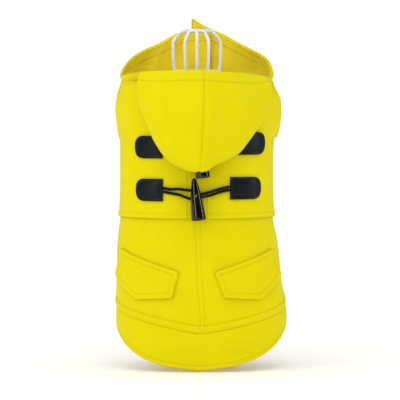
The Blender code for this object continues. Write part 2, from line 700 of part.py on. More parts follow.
def cord_line(places, count):
    """A smooth line through (reach, height, out) places over the yoke."""
    line = spline_through(places, count)
    return on_body(girth_of(line[:, 0] + YOKE_SWAY, line[:, 1]), line[:, 1], line[:, 2])


def make_loop(row, spec, collection):
    """The cord loop: from the left tab, round behind the toggle, and back to the tab."""
    eye = spec.toggle_z + 4.0
    start = spec.left_reach + GAP
    places = [
        (start, spec.left_height + 1.9, CORD_REST_OUT),
        (start + 7.0, spec.left_height + 1.0, CORD_REST_OUT + 0.4),
        (start + 15.0, 0.5 * (spec.left_height + eye) + 3.6, CORD_OVER_PLACKET_OUT),
        (spec.toggle_x - 8.0, eye + 4.8, CORD_OVER_PLACKET_OUT),
        (spec.toggle_x - 1.5, eye + 4.4, CORD_OVER_PLACKET_OUT),
        (spec.toggle_x + 2.4, eye, CORD_OVER_PLACKET_OUT),
        (spec.toggle_x - 1.5, eye - 4.4, CORD_OVER_PLACKET_OUT),
        (spec.toggle_x - 8.0, eye - 3.2, CORD_OVER_PLACKET_OUT),
        (start + 15.0, 0.5 * (spec.left_height + eye) - 2.0, CORD_OVER_PLACKET_OUT),
        (start + 7.0, spec.left_height - 3.0, CORD_REST_OUT + 0.4),
        (start, spec.left_height - 1.6, CORD_REST_OUT),
    ]
    return tube(f"loop_{row}", cord_line(places, 21), CORD, "black_cord", collection)


def make_tethers(row, spec, collection):
    """Two strands side by side, from the right tab to the toggle, behind its eye."""
    eye = spec.toggle_z + TOGGLE_EYE_RISE
    start = spec.right_reach - GAP
    rise = spec.right_height - eye
    slope = math.atan2(rise, start - spec.toggle_x - 8.0)
    for number, shift in enumerate((1.6, -1.6)):
        over, up = -shift * math.sin(slope), shift * math.cos(slope)
        places = [
            (start, spec.right_height + shift, CORD_REST_OUT),
            (start - 5.0 + over, spec.right_height - 0.9 + up, CORD_REST_OUT + 0.4),
            (spec.toggle_x + 14.0 + over, eye + 0.30 * rise + up, CORD_OVER_PLACKET_OUT + 0.8),
            (spec.toggle_x + 9.4 + over, eye + 0.9 + up, CORD_OVER_PLACKET_OUT + 2.6),
            (spec.toggle_x + 4.8, eye + shift, CORD_OVER_PLACKET_OUT + 4.5),
        ]
        tube(f"tether_{row}_{number + 1}", cord_line(places, 10), CORD, "black_cord", collection)


def make_toggle(row, spec, collection, cutters):
    """Horn-shaped toggle: a turned profile with an eye bored through it, front to back."""
    name = f"toggle_{row}"
    mesh = bpy.data.meshes.new(name)
    profile = [(r.radius * MM, 0.0, r.height * MM) for r in TOGGLE]
    mesh.from_pydata(profile, [(k, k + 1) for k in range(len(profile) - 1)], [])
    made = add_object(name, mesh, "black_horn", collection)
    turned = made.modifiers.new("turned", "SCREW")
    turned.steps = turned.render_steps = 12
    turned.use_merge_vertices = True
    turned.merge_threshold = 0.00002
    turned.use_normal_calculate = True
    height = np.array([spec.toggle_z])
    girth = girth_of(np.array([spec.toggle_x + YOKE_SWAY]), height)
    place = on_body(girth, height, np.array([TOGGLE_OUT]))[0]
    made.location = tuple((place + FRAME_SHIFT) * MM)
    made.rotation_euler = (0.0, math.radians(-TOGGLE_LEAN_DEG), 0.0)
    bpy.ops.mesh.primitive_cylinder_add(vertices=12, radius=TOGGLE_EYE / 2 * MM, depth=30 * MM)
    eye = bpy.context.object
    eye.name = f"{name}_eye"
    eye.location = tuple((place + np.array([0.0, 0.0, TOGGLE_EYE_RISE]) + FRAME_SHIFT) * MM)
    eye.rotation_euler = (math.radians(90.0), 0.0, 0.0)
    eye.hide_render = True
    eye.display_type = "WIRE"
    for other in list(eye.users_collection):
        other.objects.unlink(eye)
    cutters.objects.link(eye)
    bored = made.modifiers.new("eye", "BOOLEAN")
    bored.operation = "DIFFERENCE"
    bored.object = eye
    return made


# ---------------------------------------------------------------- wire dress form


def wire_place(girth, height):
    """One wire's place at a height: inside the cloth on the torso, drawn in to the base below it."""
    torso = on_body(girth, height, WIRE_OUT - SHOULDER_DRAW * float(ease(height, 255.0, 284.0)))
    turn = math.pi * girth
    x, y = BASE_RADIUS * math.sin(turn), BASE_CENTRE_Y - BASE_DEPTH_RADIUS * math.cos(turn)
    base = np.array([x, y, BASE_THICKNESS + FOOT_GAP])
    foot = float(ease(0.0, TAPER_FOOT, TAPER_TOP))
    kept = (float(ease(height, TAPER_FOOT, TAPER_TOP)) - foot) / (1 - foot)
    place = base + (torso - base) * kept
    place[2] = max(height, BASE_THICKNESS + FOOT_GAP)
    return place


def neck_place(azimuth_deg, radius, height):
    turn = math.radians(azimuth_deg)
    x, y = NECK_CENTRE_X + radius * math.sin(turn), NECK_CENTRE_Y - radius * math.cos(turn)
    return np.array([x, y, height])


def make_wire(index, collection):
    """One upright wire: up the torso, in over the shoulder, up the neck, and in to the crown."""
    girth, azimuth = FORM_GIRTHS[index], NECK_AZIMUTHS_DEG[index]
    torso = [wire_place(girth, height) for height in (*WIRE_HEIGHTS, FORM_SHOULDER - 4.0)]
    shoulder = wire_place(girth, FORM_SHOULDER + 5.0)
    neck = neck_place(azimuth, NECK_RADIUS, NECK_FOOT)
    over = shoulder + 0.8 * (neck - shoulder)
    over[2] = FORM_SHOULDER + 6.0
    places = [
        *torso,
        shoulder,
        over,
        neck,
        neck_place(azimuth, NECK_RADIUS, 0.5 * (NECK_FOOT + NECK_TOP)),
        neck_place(azimuth, NECK_RADIUS, NECK_TOP),
        neck_place(azimuth, NECK_RADIUS - 1.2, NECK_TOP + 2.6),
        neck_place(azimuth, CROWN_RADIUS + 2.4, CROWN_TOP - CROWN_THICKNESS / 2 - 0.8),
        neck_place(azimuth, CROWN_RADIUS + 1.6, CROWN_TOP - CROWN_THICKNESS / 2),
    ]
    return tube(f"form_wire_{index + 1}", spline_through(places, 22), WIRE, "white_wire", collection)


def make_hoop(name, height, collection):
    """A level hoop inside the upright wires."""
    girth = np.linspace(-1.0, 1.0, 24, endpoint=False)
    line = on_body(girth, np.full_like(girth, height), 0.0 * girth + HOOP_OUT)
    return tube(f"form_{name}", line, WIRE, "white_wire", collection, cyclic=True)


def make_neck_hoop(collection):
    """A small hoop inside the neck's wires, at the foot of the neck."""
    line = [neck_place(angle, NECK_HOOP_RADIUS, NECK_HOOP_HEIGHT) for angle in range(0, 360, 20)]
    return tube("form_neck_hoop", line, WIRE, "white_wire", collection, cyclic=True)


def make_crown(collection):
    """The round plate that closes the neck."""
    bpy.ops.mesh.primitive_cylinder_add(vertices=24, radius=CROWN_RADIUS * MM, depth=CROWN_THICKNESS * MM)
    made = bpy.context.object
    made.name = made.data.name = "form_crown"
    centre = np.array([NECK_CENTRE_X, NECK_CENTRE_Y, CROWN_TOP - CROWN_THICKNESS / 2])
    made.location = tuple((centre + FRAME_SHIFT) * MM)
    edge = made.modifiers.new("edge", "BEVEL")
    edge.width = 1.0 * MM
    edge.segments = 1
    made.data.materials.append(material("white_wire"))
    move_to(made, collection)
    return made


def make_base(collection):
    """The flat oval ring that the form stands on."""
    mesh = bpy.data.meshes.new("form_base")
    half = BASE_WIDTH / 2
    corners = [(half, BASE_THICKNESS - 0.8), (half, 0.0), (-half, 0.0), (-half, BASE_THICKNESS - 0.8)]
    corners += [(-half + 0.8, BASE_THICKNESS), (half - 0.8, BASE_THICKNESS)]
    turn = np.linspace(0.0, 2 * math.pi, 28, endpoint=False)
    rings = []
    for across, up in corners:
        x = (BASE_RADIUS + across) * np.sin(turn)
        y = BASE_CENTRE_Y - (BASE_DEPTH_RADIUS + across) * np.cos(turn)
        rings.append(np.stack([x, y, np.full_like(turn, up)], axis=-1))
    points = np.array(rings).transpose(1, 0, 2).reshape(-1, 3)
    count, sides = len(turn), len(corners)
    faces = []
    for i in range(count):
        here, ahead = i * sides, (i + 1) % count * sides
        for k in range(sides):
            beside = (k + 1) % sides
            faces.append((here + k, here + beside, ahead + beside, ahead + k))
    mesh.from_pydata(((points + FRAME_SHIFT) * MM).tolist(), [], faces)
    return add_object("form_base", mesh, "white_wire", collection)


# ---------------------------------------------------------------- assembly


def word(side):
    return "right" if side > 0 else "left"


def faced(points, side):
    """The left pieces are mirror-ordered, so their columns are turned round to face outwards."""
    return points if side > 0 else points[:, ::-1]


def move_to(made, collection):
    for other in list(made.users_collection):
        other.objects.unlink(made)
    collection.objects.link(made)


def new_collection(name):
    made = bpy.data.collections.new(name)
    bpy.context.scene.collection.children.link(made)
    return made


def main():
    for old in list(bpy.data.objects):
        bpy.data.objects.remove(old)
    jacket = new_collection("dog_jacket")
    cutters = new_collection("cutters")
    for side in (1, -1):
        make_back_panel(side, jacket)
        make_belly_panel(side, jacket)
        make_yoke(side, jacket)
        make_sleeve(side, jacket)
        make_hood(side, jacket)
        make_pocket_flap(side, jacket)
    make_hem_band(jacket)
    make_placket(jacket)
    for row, spec in FASTENINGS.items():
        make_tab(f"tab_{row}_left", spec.left_reach, spec.left_length, spec.left_height, -1, jacket)
        make_tab(f"tab_{row}_right", spec.right_reach, spec.right_length, spec.right_height, 1, jacket)
        make_loop(row, spec, jacket)
        make_tethers(row, spec, jacket)
        make_toggle(row, spec, jacket, cutters)
    for index in range(len(FORM_GIRTHS)):
        make_wire(index, jacket)
    for name, height in HOOP_HEIGHTS.items():
        make_hoop(name, height, jacket)
    make_neck_hoop(jacket)
    make_crown(jacket)
    make_base(jacket)


main()
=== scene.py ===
"""Looks of a dog jacket worn on a wire dress form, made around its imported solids.

Shapes are worked out in millimetres, in the wearer's own frame: the back faces -Y, the chest +Y, and the
neck is up. A mesh is made in metres, moved by FRAME_SHIFT, which puts it on its solid. A place on the body
has two coordinates: girth, which runs round the body from 0 at the middle of the back to 1 (right) or -1
(left) at the middle of the chest, and height. Each cut piece of cloth is a grid of such places, sewn (which
raises and sinks it along its edges), then given its two skins and a round edge.
"""

import math
from collections import namedtuple

import bpy
import numpy as np
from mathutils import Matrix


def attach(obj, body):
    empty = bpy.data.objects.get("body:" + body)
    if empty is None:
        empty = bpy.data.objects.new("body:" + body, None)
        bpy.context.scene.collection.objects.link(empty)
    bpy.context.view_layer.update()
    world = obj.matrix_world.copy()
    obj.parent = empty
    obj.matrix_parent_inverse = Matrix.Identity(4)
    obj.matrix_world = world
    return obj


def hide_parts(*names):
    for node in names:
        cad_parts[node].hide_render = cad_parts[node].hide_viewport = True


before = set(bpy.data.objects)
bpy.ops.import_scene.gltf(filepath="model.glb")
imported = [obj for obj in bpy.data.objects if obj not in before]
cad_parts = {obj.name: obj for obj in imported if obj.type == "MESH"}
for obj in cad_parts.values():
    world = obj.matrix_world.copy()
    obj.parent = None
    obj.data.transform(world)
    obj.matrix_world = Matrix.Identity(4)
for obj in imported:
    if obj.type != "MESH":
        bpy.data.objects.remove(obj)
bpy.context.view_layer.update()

MM = 0.001
FRAME_SHIFT = np.array([-2.85, 3.7, 0.0])
GAP = 0.4

# ---------------------------------------------------------------- sizes of the cut pieces, as in the solids

CLOTH = 2.0
YOKE_CLOTH = 1.8
YOKE_OUT = CLOTH / 2 + GAP + YOKE_CLOTH / 2
PLACKET_CLOTH = 1.2
PLACKET_OUT = YOKE_OUT + YOKE_CLOTH / 2 + GAP + PLACKET_CLOTH / 2
TAB_LEATHER = 1.3
TAB_OUT = YOKE_OUT + YOKE_CLOTH / 2 + 0.65 + TAB_LEATHER / 2
FLAP_CLOTH = 1.8
FLAP_OUT = CLOTH / 2 + 0.6 + FLAP_CLOTH / 2
HOOD_CLOTH = 1.8
SLEEVE_CLOTH = 1.8

SQUARENESS = 2.5
DEPTH_SHARE = 0.80
YOKE_SWAY = 1.4
BodyRow = namedtuple("BodyRow", "height half_width sway lean belly")
BODY = (
    BodyRow(0, 82.0, 1.0, 3.0, 1.00),
    BodyRow(25, 84.8, 2.6, 1.0, 0.98),
    BodyRow(53, 85.8, 3.4, 0.0, 0.96),
    BodyRow(72, 85.0, 2.2, 0.0, 0.94),
    BodyRow(96, 83.0, 0.5, 0.0, 0.93),
    BodyRow(127, 80.2, -0.6, 0.0, 0.94),
    BodyRow(150, 77.4, -1.4, 0.0, 0.97),
    BodyRow(164, 75.8, -1.4, 0.0, 1.00),
    BodyRow(199, 75.2, -1.4, 0.5, 1.06),
    BodyRow(246, 75.2, -1.4, 1.5, 1.08),
    BodyRow(268, 76.6, -1.4, 3.3, 1.00),
    BodyRow(281, 76.2, -1.3, 5.3, 0.91),
    BodyRow(289, 74.8, -1.2, 8.4, 0.80),
    BodyRow(295, 72.5, -1.0, 11.5, 0.69),
    BodyRow(305, 66.0, -1.0, 16.0, 0.52),
)
HemRow = namedtuple("HemRow", "reach height")
HEM = (
    HemRow(0, 1.5),
    HemRow(32, 5.2),
    HemRow(54, 11.0),
    HemRow(67, 16.8),
    HemRow(78, 22.6),
    HemRow(87, 28.0),
    HemRow(96, 33.2),
    HemRow(106, 38.4),
    HemRow(125, 47.0),
    HemRow(142, 55.0),
    HemRow(188, 84.0),
    HemRow(245, 103.0),
)
BAND_HEIGHT = 40.0
BAND_RISE = 0.23
BAND_ROUNDING = 10.0
# The body's half width where the hem and the band's seam run, by which girth becomes a distance round it.
HEM_HALF_WIDTH = 84.0
BAND_HALF_WIDTH = 83.0
YOKE_EDGE = 154.0
NECKLINE = 290.5
NECKLINE_DIP = 1.5
YOKE_BELOW_NECK = 1.6
SIDE_SEAM = 0.56
RIGHT_LAP = 7.0
LEFT_LAP = 18.0
LAP_LIFT = CLOTH + 0.6
HOOD_LAP_LIFT = 3.1
LAP_START = 0.81
LAP_FULL = 0.90
BACK_SEAM_X = -1.0
ARM_HEIGHT = 258.0
ARM_RISE = 25.0
ARM_REACH = 24.0
SLEEVE_FRONT_DROP = 1.5
SLEEVE_REACH = 38.0
SleeveEnd = namedtuple("SleeveEnd", "x y z radius tilt_deg collar_out bulge")
SLEEVE_ENDS = {
    1: SleeveEnd(60.5, 86.0, 247.0, 21.5, 20.0, 4.0, 38.0),
    -1: SleeveEnd(-61.0, 88.0, 250.0, 21.5, 20.0, 3.6, 20.0),
}

HOOD_CENTRE = (-1.4, 2.0)
HoodRow = namedtuple("HoodRow", "azimuth fold_left fold_right rim_reach rim_left rim_right")
HOOD = (
    HoodRow(0, 202.2, 202.2, 97.5, 303.5, 303.5),
    HoodRow(5, 202.5, 202.9, 97.4, 303.5, 303.1),
    HoodRow(10, 205.0, 208.0, 97.0, 303.5, 302.5),
    HoodRow(20, 213.0, 213.0, 94.5, 303.0, 301.5),
    HoodRow(30, 231.0, 220.0, 89.5, 302.5, 300.5),
    HoodRow(35, 246.0, 227.5, 86.5, 302.0, 299.8),
    HoodRow(40, 265.0, 236.0, 84.0, 301.5, 299.0),
    HoodRow(44, 280.0, 243.5, 82.2, 301.1, 298.6),
    HoodRow(47, 287.0, 249.5, 81.1, 300.8, 298.3),
    HoodRow(50, 287.0, 255.5, 80.0, 300.5, 298.0),
    HoodRow(55, 287.0, 267.5, 78.7, 300.0, 297.5),
    HoodRow(60, 287.0, 280.0, 77.8, 299.5, 297.0),
    HoodRow(66, 287.0, 287.0, 77.3, 298.7, 296.3),
    HoodRow(75, 287.0, 287.0, 77.0, 298.0, 296.5),
    HoodRow(88, 287.0, 287.0, 76.4, 299.5, 301.0),
    HoodRow(98, 287.0, 287.0, 75.0, 306.0, 311.0),
    HoodRow(110, 287.0, 287.0, 71.5, 315.0, 318.5),
    HoodRow(125, 287.0, 287.0, 66.5, 324.0, 325.5),
    HoodRow(140, 287.0, 287.0, 61.0, 331.0, 334.0),
    HoodRow(150, 287.0, 287.0, 57.5, 337.0, 340.0),
    HoodRow(160, 287.0, 287.0, 54.5, 342.5, 344.0),
    HoodRow(170, 287.0, 287.0, 52.0, 345.0, 349.0),
    HoodRow(180, 287.0, 287.0, 50.5, 346.0, 354.5),
    HoodRow(184, 287.0, 287.0, 50.5, 346.0, 357.0),
    HoodRow(188, 287.0, 287.0, 50.5, 346.0, 355.0),
    HoodRow(200, 287.0, 287.0, 51.0, 345.0, 353.0),
)
HOOD_SEAM_LEAN_DEG = 4.6
HOOD_SEAM_GAP = 0.4
HOOD_OVER_YOKE = 5.0
HOOD_OVER_TABS = 6.9
TOGGLE_BUMP = 15.8
TOGGLE_BUMP_WIDTH = 23.0
FOLD_RADIUS = 6.5
POUCH_SWELL = 7.0
FOLD_DEEPENS_IN = 24.0
SHALLOW_BULGE = 1.6
SHALLOW_FOOT_LIFT = 0.6
SHOULDER_FOLD = 287.0
SHALLOW_RADIUS = 2.5
STANDING_BULGE = 2.5
FOLLOWS_YOKE_FROM = 284.0
BUMP_LEVEL = 246.0
SLEEVE_COLLAR = 4.0
COLLAR_STARTS_DEG = 86.0
COLLAR_STANDS_DEG = 120.0

FlapCorner = namedtuple("FlapCorner", "reach height")
FLAP_INNER_TOP = FlapCorner(17.5, 101.3)
FLAP_OUTER_TOP = FlapCorner(84.5, 123.0)
FLAP_OUTER_POINT = FlapCorner(99.0, 96.0)
FLAP_OUTER_BOTTOM = FlapCorner(63.5, 72.6)
FLAP_INNER_BOTTOM = FlapCorner(26.0, 75.0)
FLAP_CENTRE_X = -1.5

Fastening = namedtuple(
    "Fastening",
    "left_reach left_height left_length right_reach right_height right_length toggle_x toggle_z",
)
FASTENINGS = {
    "lower": Fastening(-34.2, 183.0, 28.8, 31.2, 184.8, 33.5, -1.6, 174.3),
    "upper": Fastening(-34.5, 226.0, 29.5, 34.0, 229.6, 36.0, 2.3, 216.7),
}
TAB_HEIGHT = 22.6
TAB_END = 11.0
TAB_ROUNDNESS = 2.6
CORD = 2.8
CORD_REST_OUT = YOKE_OUT + YOKE_CLOTH / 2 + GAP + CORD / 2
CORD_OVER_PLACKET_OUT = PLACKET_OUT + PLACKET_CLOTH / 2 + GAP + CORD / 2
TOGGLE_OUT = 14.2
TOGGLE_LEAN_DEG = 7.0
TOGGLE_EYE = 3.2
TOGGLE_EYE_RISE = 3.5
LOOP_RISE = 4.0
STRAND_SHIFTS = (1.6, -1.6)
ToggleRow = namedtuple("ToggleRow", "radius height")
TOGGLE = (
    ToggleRow(0.0, 21.3),
    ToggleRow(1.4, 20.8),
    ToggleRow(2.3, 19.2),
    ToggleRow(3.4, 15.0),
    ToggleRow(4.8, 7.5),
    ToggleRow(6.0, -2.5),
    ToggleRow(6.8, -12.0),
    ToggleRow(7.3, -18.8),
    ToggleRow(7.1, -20.6),
    ToggleRow(6.2, -21.3),
    ToggleRow(0.0, -21.3),
)
PLACKET_LEFT = -12.5
PLACKET_RIGHT = 10.5

WIRE = 3.2
WIRE_OUT = -(CLOTH / 2 + 0.6 + WIRE / 2)
HOOP_OUT = WIRE_OUT - WIRE - 0.6
FORM_GIRTHS = (0.0, 0.25, 0.5, 0.75, 1.0, -0.75, -0.5, -0.25)
NECK_AZIMUTHS_DEG = (0, 30, 90, 150, 180, -150, -90, -30)
HOOP_HEIGHTS = {"chest_hoop": 226.0, "waist_hoop": 150.0, "hip_hoop": 96.0}
NECK_CENTRE = (-1.2, 2.0)
NECK_RADIUS = 23.9
NECK_FOOT = 296.0
NECK_TOP = 332.0
NECK_HOOP_HEIGHT = 302.0
NECK_HOOP_RADIUS = 20.8
CROWN_RADIUS = 13.0
CROWN_TOP = 345.3
CROWN_THICKNESS = 4.0
FORM_SHOULDER = 284.0
BASE_RADIUS = 36.0
BASE_DEPTH_RADIUS = 34.0
BASE_WIDTH = 7.0
BASE_THICKNESS = 3.6
FOOT_GAP = 1.2
BASE_CENTRE_Y = 4.0
TAPER_TOP = 92.0
TAPER_FOOT = -22.0
WIRE_HEIGHTS = (0.0, 14.0, 32.0, 54.0, 76.0, 100.0, 130.0, 165.0, 205.0, 245.0, 268.0)
# Under the shoulder the wires lie this much further in from the cloth.
SHOULDER_DRAW = 2.6
SHOULDER_DRAW_FROM = 255.0
# The crown reaches out to each wire in a web: how far, how wide, and how far it droops.
WEB_REACH = 3.2
WEB_WIDTH = 2.9
WEB_DROP = 1.1

# Each cut's size, by which the steps of its grid are graded, and the heights that some run between.
BACK_WIDTH, BACK_LENGTH = 130.0, 252.0
YOKE_LENGTH = 136.0
BELLY_WIDTH, BELLY_LENGTH = 108.0, 205.0
BELLY_FOOT = 86.0
BAND_DEPTH = 38.0
PLACKET_LENGTH = 120.0
PLACKET_WIDTH = PLACKET_RIGHT - PLACKET_LEFT
PLACKET_FOOT = YOKE_EDGE + 0.6
PLACKET_TOP = ARM_HEIGHT + 18.0
FLAP_DEPTH = 44.0
SLEEVE_LENGTH = 62.0
HOOD_LENGTH = 280.0

# ---------------------------------------------------------------- sewing and creases

THREAD = 0.55
STITCH_PITCH = 3.1
STITCH_LENGTH = 2.35
HEM_STITCH = 4.6
BAND_STITCH = 7.0
SEAM_STITCH = 4.5
FLAP_STITCH = 4.8
YOKE_STITCH = 5.2
CASING = 11.0
TAB_STITCH = 2.5
CUFF_STITCH = 6.0
PLACKET_STITCH = 2.0
CHEST_STITCH = 3.5
# Stitches sink in a groove this wide. Past them the cloth swells by this share of the edge's own puff.
GROOVE_WIDTH = 0.75
SWELL_BEYOND = 0.45
SWELLS_WITHIN = 1.8
SETTLES_WITHIN = 6.5
# Beside a plain seam the cloth rolls up this far from it, over this width.
SEAM_ROLL_AT = 3.2
SEAM_ROLL_WIDTH = 2.2
# A sewn edge is rounded by this share of half its wall, and reaches this far into the seam's gap.
SEWN_ROUNDING = 0.2
SEAM_REACH = 0.36
ARMHOLE_REACH = 0.40
YOKE_TURNED_UP = 3.0
# The yoke swells out round the armhole, up to the head of the sleeve, which is fuller on the right.
ARM_SWELL = {1: 6.0, -1: 3.2}
ARM_SWELL_REACH = 20.0
# The yoke's lower edge stands off the back in two soft waves, this far round it.
YOKE_WAVES = (-56.0, 50.0)
YOKE_WAVE_WIDTH = 8.0
# The casing inside the hood's rim is gathered at the sides of the neck, more on the right.
CASING_SWELL = 0.8
GATHERS = {1: 0.45, -1: 0.18}
GATHER_PITCH = 2.6
GATHERED_AT_DEG = 104.0
GATHERED_WIDTH_DEG = 22.0
NECK_REACH = 0.45

# A crease runs between two places, a and b. Its depth is outwards, so a trough is negative.
Crease = namedtuple("Crease", "across_a along_a across_b along_b width depth")
# On the body: the distance round from the middle of the back, and the height.
BODY_CREASES = (
    Crease(-47.0, 156.0, -45.0, 126.0, 5.5, 0.7),
    Crease(-66.0, 158.0, -64.0, 132.0, 5.0, 0.8),
    Crease(-57.0, 152.0, -54.0, 130.0, 4.5, -0.4),
    Crease(42.0, 156.0, 41.0, 128.0, 5.5, 0.8),
    Crease(50.0, 154.0, 48.0, 134.0, 4.0, -0.4),
    Crease(59.0, 158.0, 62.0, 128.0, 6.0, 0.7),
    Crease(9.0, 150.0, 12.0, 112.0, 7.0, 0.5),
    Crease(-22.0, 148.0, -30.0, 118.0, 9.0, 0.4),
    Crease(-98.0, 150.0, -80.0, 62.0, 9.0, 0.7),
    Crease(100.0, 146.0, 84.0, 60.0, 9.0, 0.7),
    Crease(-62.0, 66.0, -24.0, 58.0, 7.0, 0.5),
    Crease(58.0, 66.0, 20.0, 60.0, 7.0, 0.5),
    Crease(-40.0, 24.0, 8.0, 27.0, 9.0, 0.9),
    Crease(14.0, 27.0, 60.0, 35.0, 9.0, 1.2),
    Crease(6.0, 12.0, 52.0, 20.0, 5.5, -1.0),
    Crease(-70.0, 40.0, -50.0, 32.0, 7.0, 0.5),
    Crease(62.0, 262.0, 70.0, 238.0, 4.5, 1.1),
    Crease(72.0, 252.0, 78.0, 214.0, 5.5, 0.8),
    Crease(-66.0, 258.0, -74.0, 214.0, 6.5, 0.9),
    Crease(-58.0, 216.0, -40.0, 200.0, 6.0, 0.5),
    Crease(58.0, 214.0, 46.0, 202.0, 6.0, 0.5),
    Crease(124.0, 150.0, 112.0, 96.0, 9.0, 0.9),
    Crease(-126.0, 158.0, -114.0, 104.0, 9.0, 0.8),
    Crease(150.0, 226.0, 178.0, 206.0, 7.0, 1.0),
    Crease(150.0, 212.0, 172.0, 180.0, 8.0, 0.9),
    Crease(-148.0, 226.0, -176.0, 200.0, 7.0, 1.0),
    Crease(-152.0, 210.0, -170.0, 172.0, 8.0, 0.8),
    Crease(196.0, 150.0, 214.0, 120.0, 8.0, 0.8),
    Crease(-190.0, 144.0, -206.0, 118.0, 8.0, 0.7),
)
# On the hood: the azimuth in degrees, and the distance down from the rim.
HOOD_CREASES = (
    Crease(6.0, 13.0, 3.0, 92.0, 5.0, 1.4),
    Crease(17.0, 16.0, 9.0, 84.0, 7.0, -2.0),
    Crease(29.0, 24.0, 19.0, 72.0, 8.0, 1.2),
    Crease(-6.0, 20.0, -3.0, 92.0, 5.0, 0.9),
    Crease(-16.0, 34.0, -8.0, 84.0, 7.0, -0.6),
    Crease(-30.0, 22.0, -22.0, 62.0, 8.0, 0.7),
    Crease(44.0, 12.0, 38.0, 52.0, 5.0, 0.7),
    Crease(-46.0, 10.0, -40.0, 40.0, 5.0, 0.6),
    Crease(104.0, 14.0, 128.0, 34.0, 5.0, -0.9),
    Crease(112.0, 24.0, 150.0, 30.0, 6.0, 0.9),
    Crease(-100.0, 14.0, -122.0, 36.0, 5.0, -0.9),
    Crease(-126.0, 14.0, -118.0, 42.0, 4.5, 1.2),
    Crease(-140.0, 12.0, -136.0, 44.0, 5.5, -2.4),
    Crease(-158.0, 12.0, -162.0, 50.0, 6.5, 3.2),
    Crease(-174.0, 14.0, -176.0, 48.0, 5.0, -2.2),
    Crease(171.0, 14.0, 168.0, 50.0, 5.5, 3.0),
    Crease(157.0, 14.0, 152.0, 46.0, 5.0, -2.0),
)
DEGREE_ON_HOOD = 1.5
# On a sleeve: the turn round it in degrees, and the distance out from the armhole.
SLEEVE_CREASES = {
    1: (
        Crease(-60.0, 12.0, -20.0, 44.0, 5.0, 0.8),
        Crease(20.0, 10.0, 45.0, 40.0, 5.0, -0.9),
        Crease(100.0, 14.0, 70.0, 38.0, 4.5, 0.8),
    ),
    -1: (
        Crease(-50.0, 10.0, -30.0, 42.0, 5.0, -0.8),
        Crease(30.0, 14.0, 10.0, 44.0, 5.5, 0.9),
        Crease(110.0, 10.0, 85.0, 34.0, 4.5, 0.7),
    ),
}
DEGREE_ON_SLEEVE = 0.38


# ---------------------------------------------------------------- curves and the body surface


def read_table(at, stations, values):
    """A smooth curve through a table's rows that never overshoots them (monotone cubic), read at places."""
    x, y = np.asarray(stations, float), np.asarray(values, float)
    step = np.diff(x)
    rise = np.diff(y) / step
    before, after = rise[:-1], rise[1:]
    same_way = before * after > 0
    total = np.where(same_way, before + after, 1.0)
    slope = np.concatenate([rise[:1], np.where(same_way, 2 * before * after / total, 0.0), rise[-1:]])
    at = np.clip(np.asarray(at, float), x[0], x[-1])
    k = np.clip(np.searchsorted(x, at, side="right") - 1, 0, len(step) - 1)
    t, h = (at - x[k]) / step[k], step[k]
    start = (1 + 2 * t) * (1 - t) ** 2 * y[k] + t * (1 - t) ** 2 * h * slope[k]
    end = t**2 * (3 - 2 * t) * y[k + 1] - t**2 * (1 - t) * h * slope[k + 1]
    return start + end


def column(rows, name, at):
    """One named column of a table, read at each value of at down its first column."""
    return read_table(at, [row[0] for row in rows], [getattr(row, name) for row in rows])


def ease(value, low, high):
    """0 below low, 1 above high, and a smooth step between."""
    t = np.clip((np.asarray(value, float) - low) / (high - low), 0.0, 1.0)
    return t * t * (3 - 2 * t)


def bell(distance, width):
    """1 at no distance, falling off on both sides as exp of minus the square of distance over width."""
    return np.exp(-((np.asarray(distance, float) / width) ** 2))


def unit(vectors):
    """Vectors divided by their lengths."""
    return vectors / np.maximum(np.linalg.norm(vectors, axis=-1, keepdims=True), 1e-9)


def unit_section():
    """Half of the unit section, a superellipse: evenly measured girth, x, y and its whole length."""
    turn = np.linspace(0.0, math.pi, 4001)
    x = np.abs(np.sin(turn)) ** (2 / SQUARENESS)
    y = -np.sign(np.cos(turn)) * np.abs(np.cos(turn)) ** (2 / SQUARENESS) * DEPTH_SHARE
    length = np.concatenate([[0.0], np.cumsum(np.hypot(np.diff(x), np.diff(y)))])
    return length / length[-1], x, y, length[-1]


SECTION_GIRTH, SECTION_X, SECTION_Y, SECTION_HALF = unit_section()


def crease_relief(across, up, creases, unit_across=1.0):
    """The sum of soft creases: each is a bell of its width across its line, and fades in and out along it.

    The creases' places across are given in units of this many millimetres.
    """
    total = 0.0 * across
    for crease in creases:
        start = np.array([crease.across_a * unit_across, crease.along_a])
        end = np.array([crease.across_b * unit_across, crease.along_b])
        length = np.hypot(*(end - start))
        way = (end - start) / length
        along = (across - start[0]) * way[0] + (up - start[1]) * way[1]
        aside = (across - start[0]) * way[1] - (up - start[1]) * way[0]
        fades_in = ease(along, -crease.width, 0.4 * length)
        fades_out = ease(along, 0.6 * length, length + crease.width)
        total = total + crease.depth * bell(aside, crease.width) * fades_in * (1 - fades_out)
    return total


def body_base(girth, height):
    """The body surface: the unit section, scaled and shifted by the body's table at that height."""
    girth, height = np.broadcast_arrays(np.asarray(girth, float), np.asarray(height, float))
    wrapped = girth - 2 * np.round(girth / 2)
    x = np.sign(wrapped) * np.interp(np.abs(wrapped), SECTION_GIRTH, SECTION_X)
    y = np.interp(np.abs(wrapped), SECTION_GIRTH, SECTION_Y)
    half_width = column(BODY, "half_width", height)
    y = np.where(y > 0, y * column(BODY, "belly", height), y)
    x = column(BODY, "sway", height) + half_width * x
    y = column(BODY, "lean", height) + half_width * y
    return np.stack([x, y, height], axis=-1)


def body_normal(girth, height):
    """The outward unit normal, from the surface's slopes round and up the body."""
    round_step, up_step = 0.004, 0.5
    around = body_base(girth + round_step, height) - body_base(girth - round_step, height)
    up = body_base(girth, height + up_step) - body_base(girth, height - up_step)
    return unit(np.cross(around, up))


def reach_of(girth, height):
    """Millimetres round the body from the middle of the back."""
    wrapped = girth - 2 * np.round(np.asarray(girth, float) / 2)
    return wrapped * SECTION_HALF * column(BODY, "half_width", height)


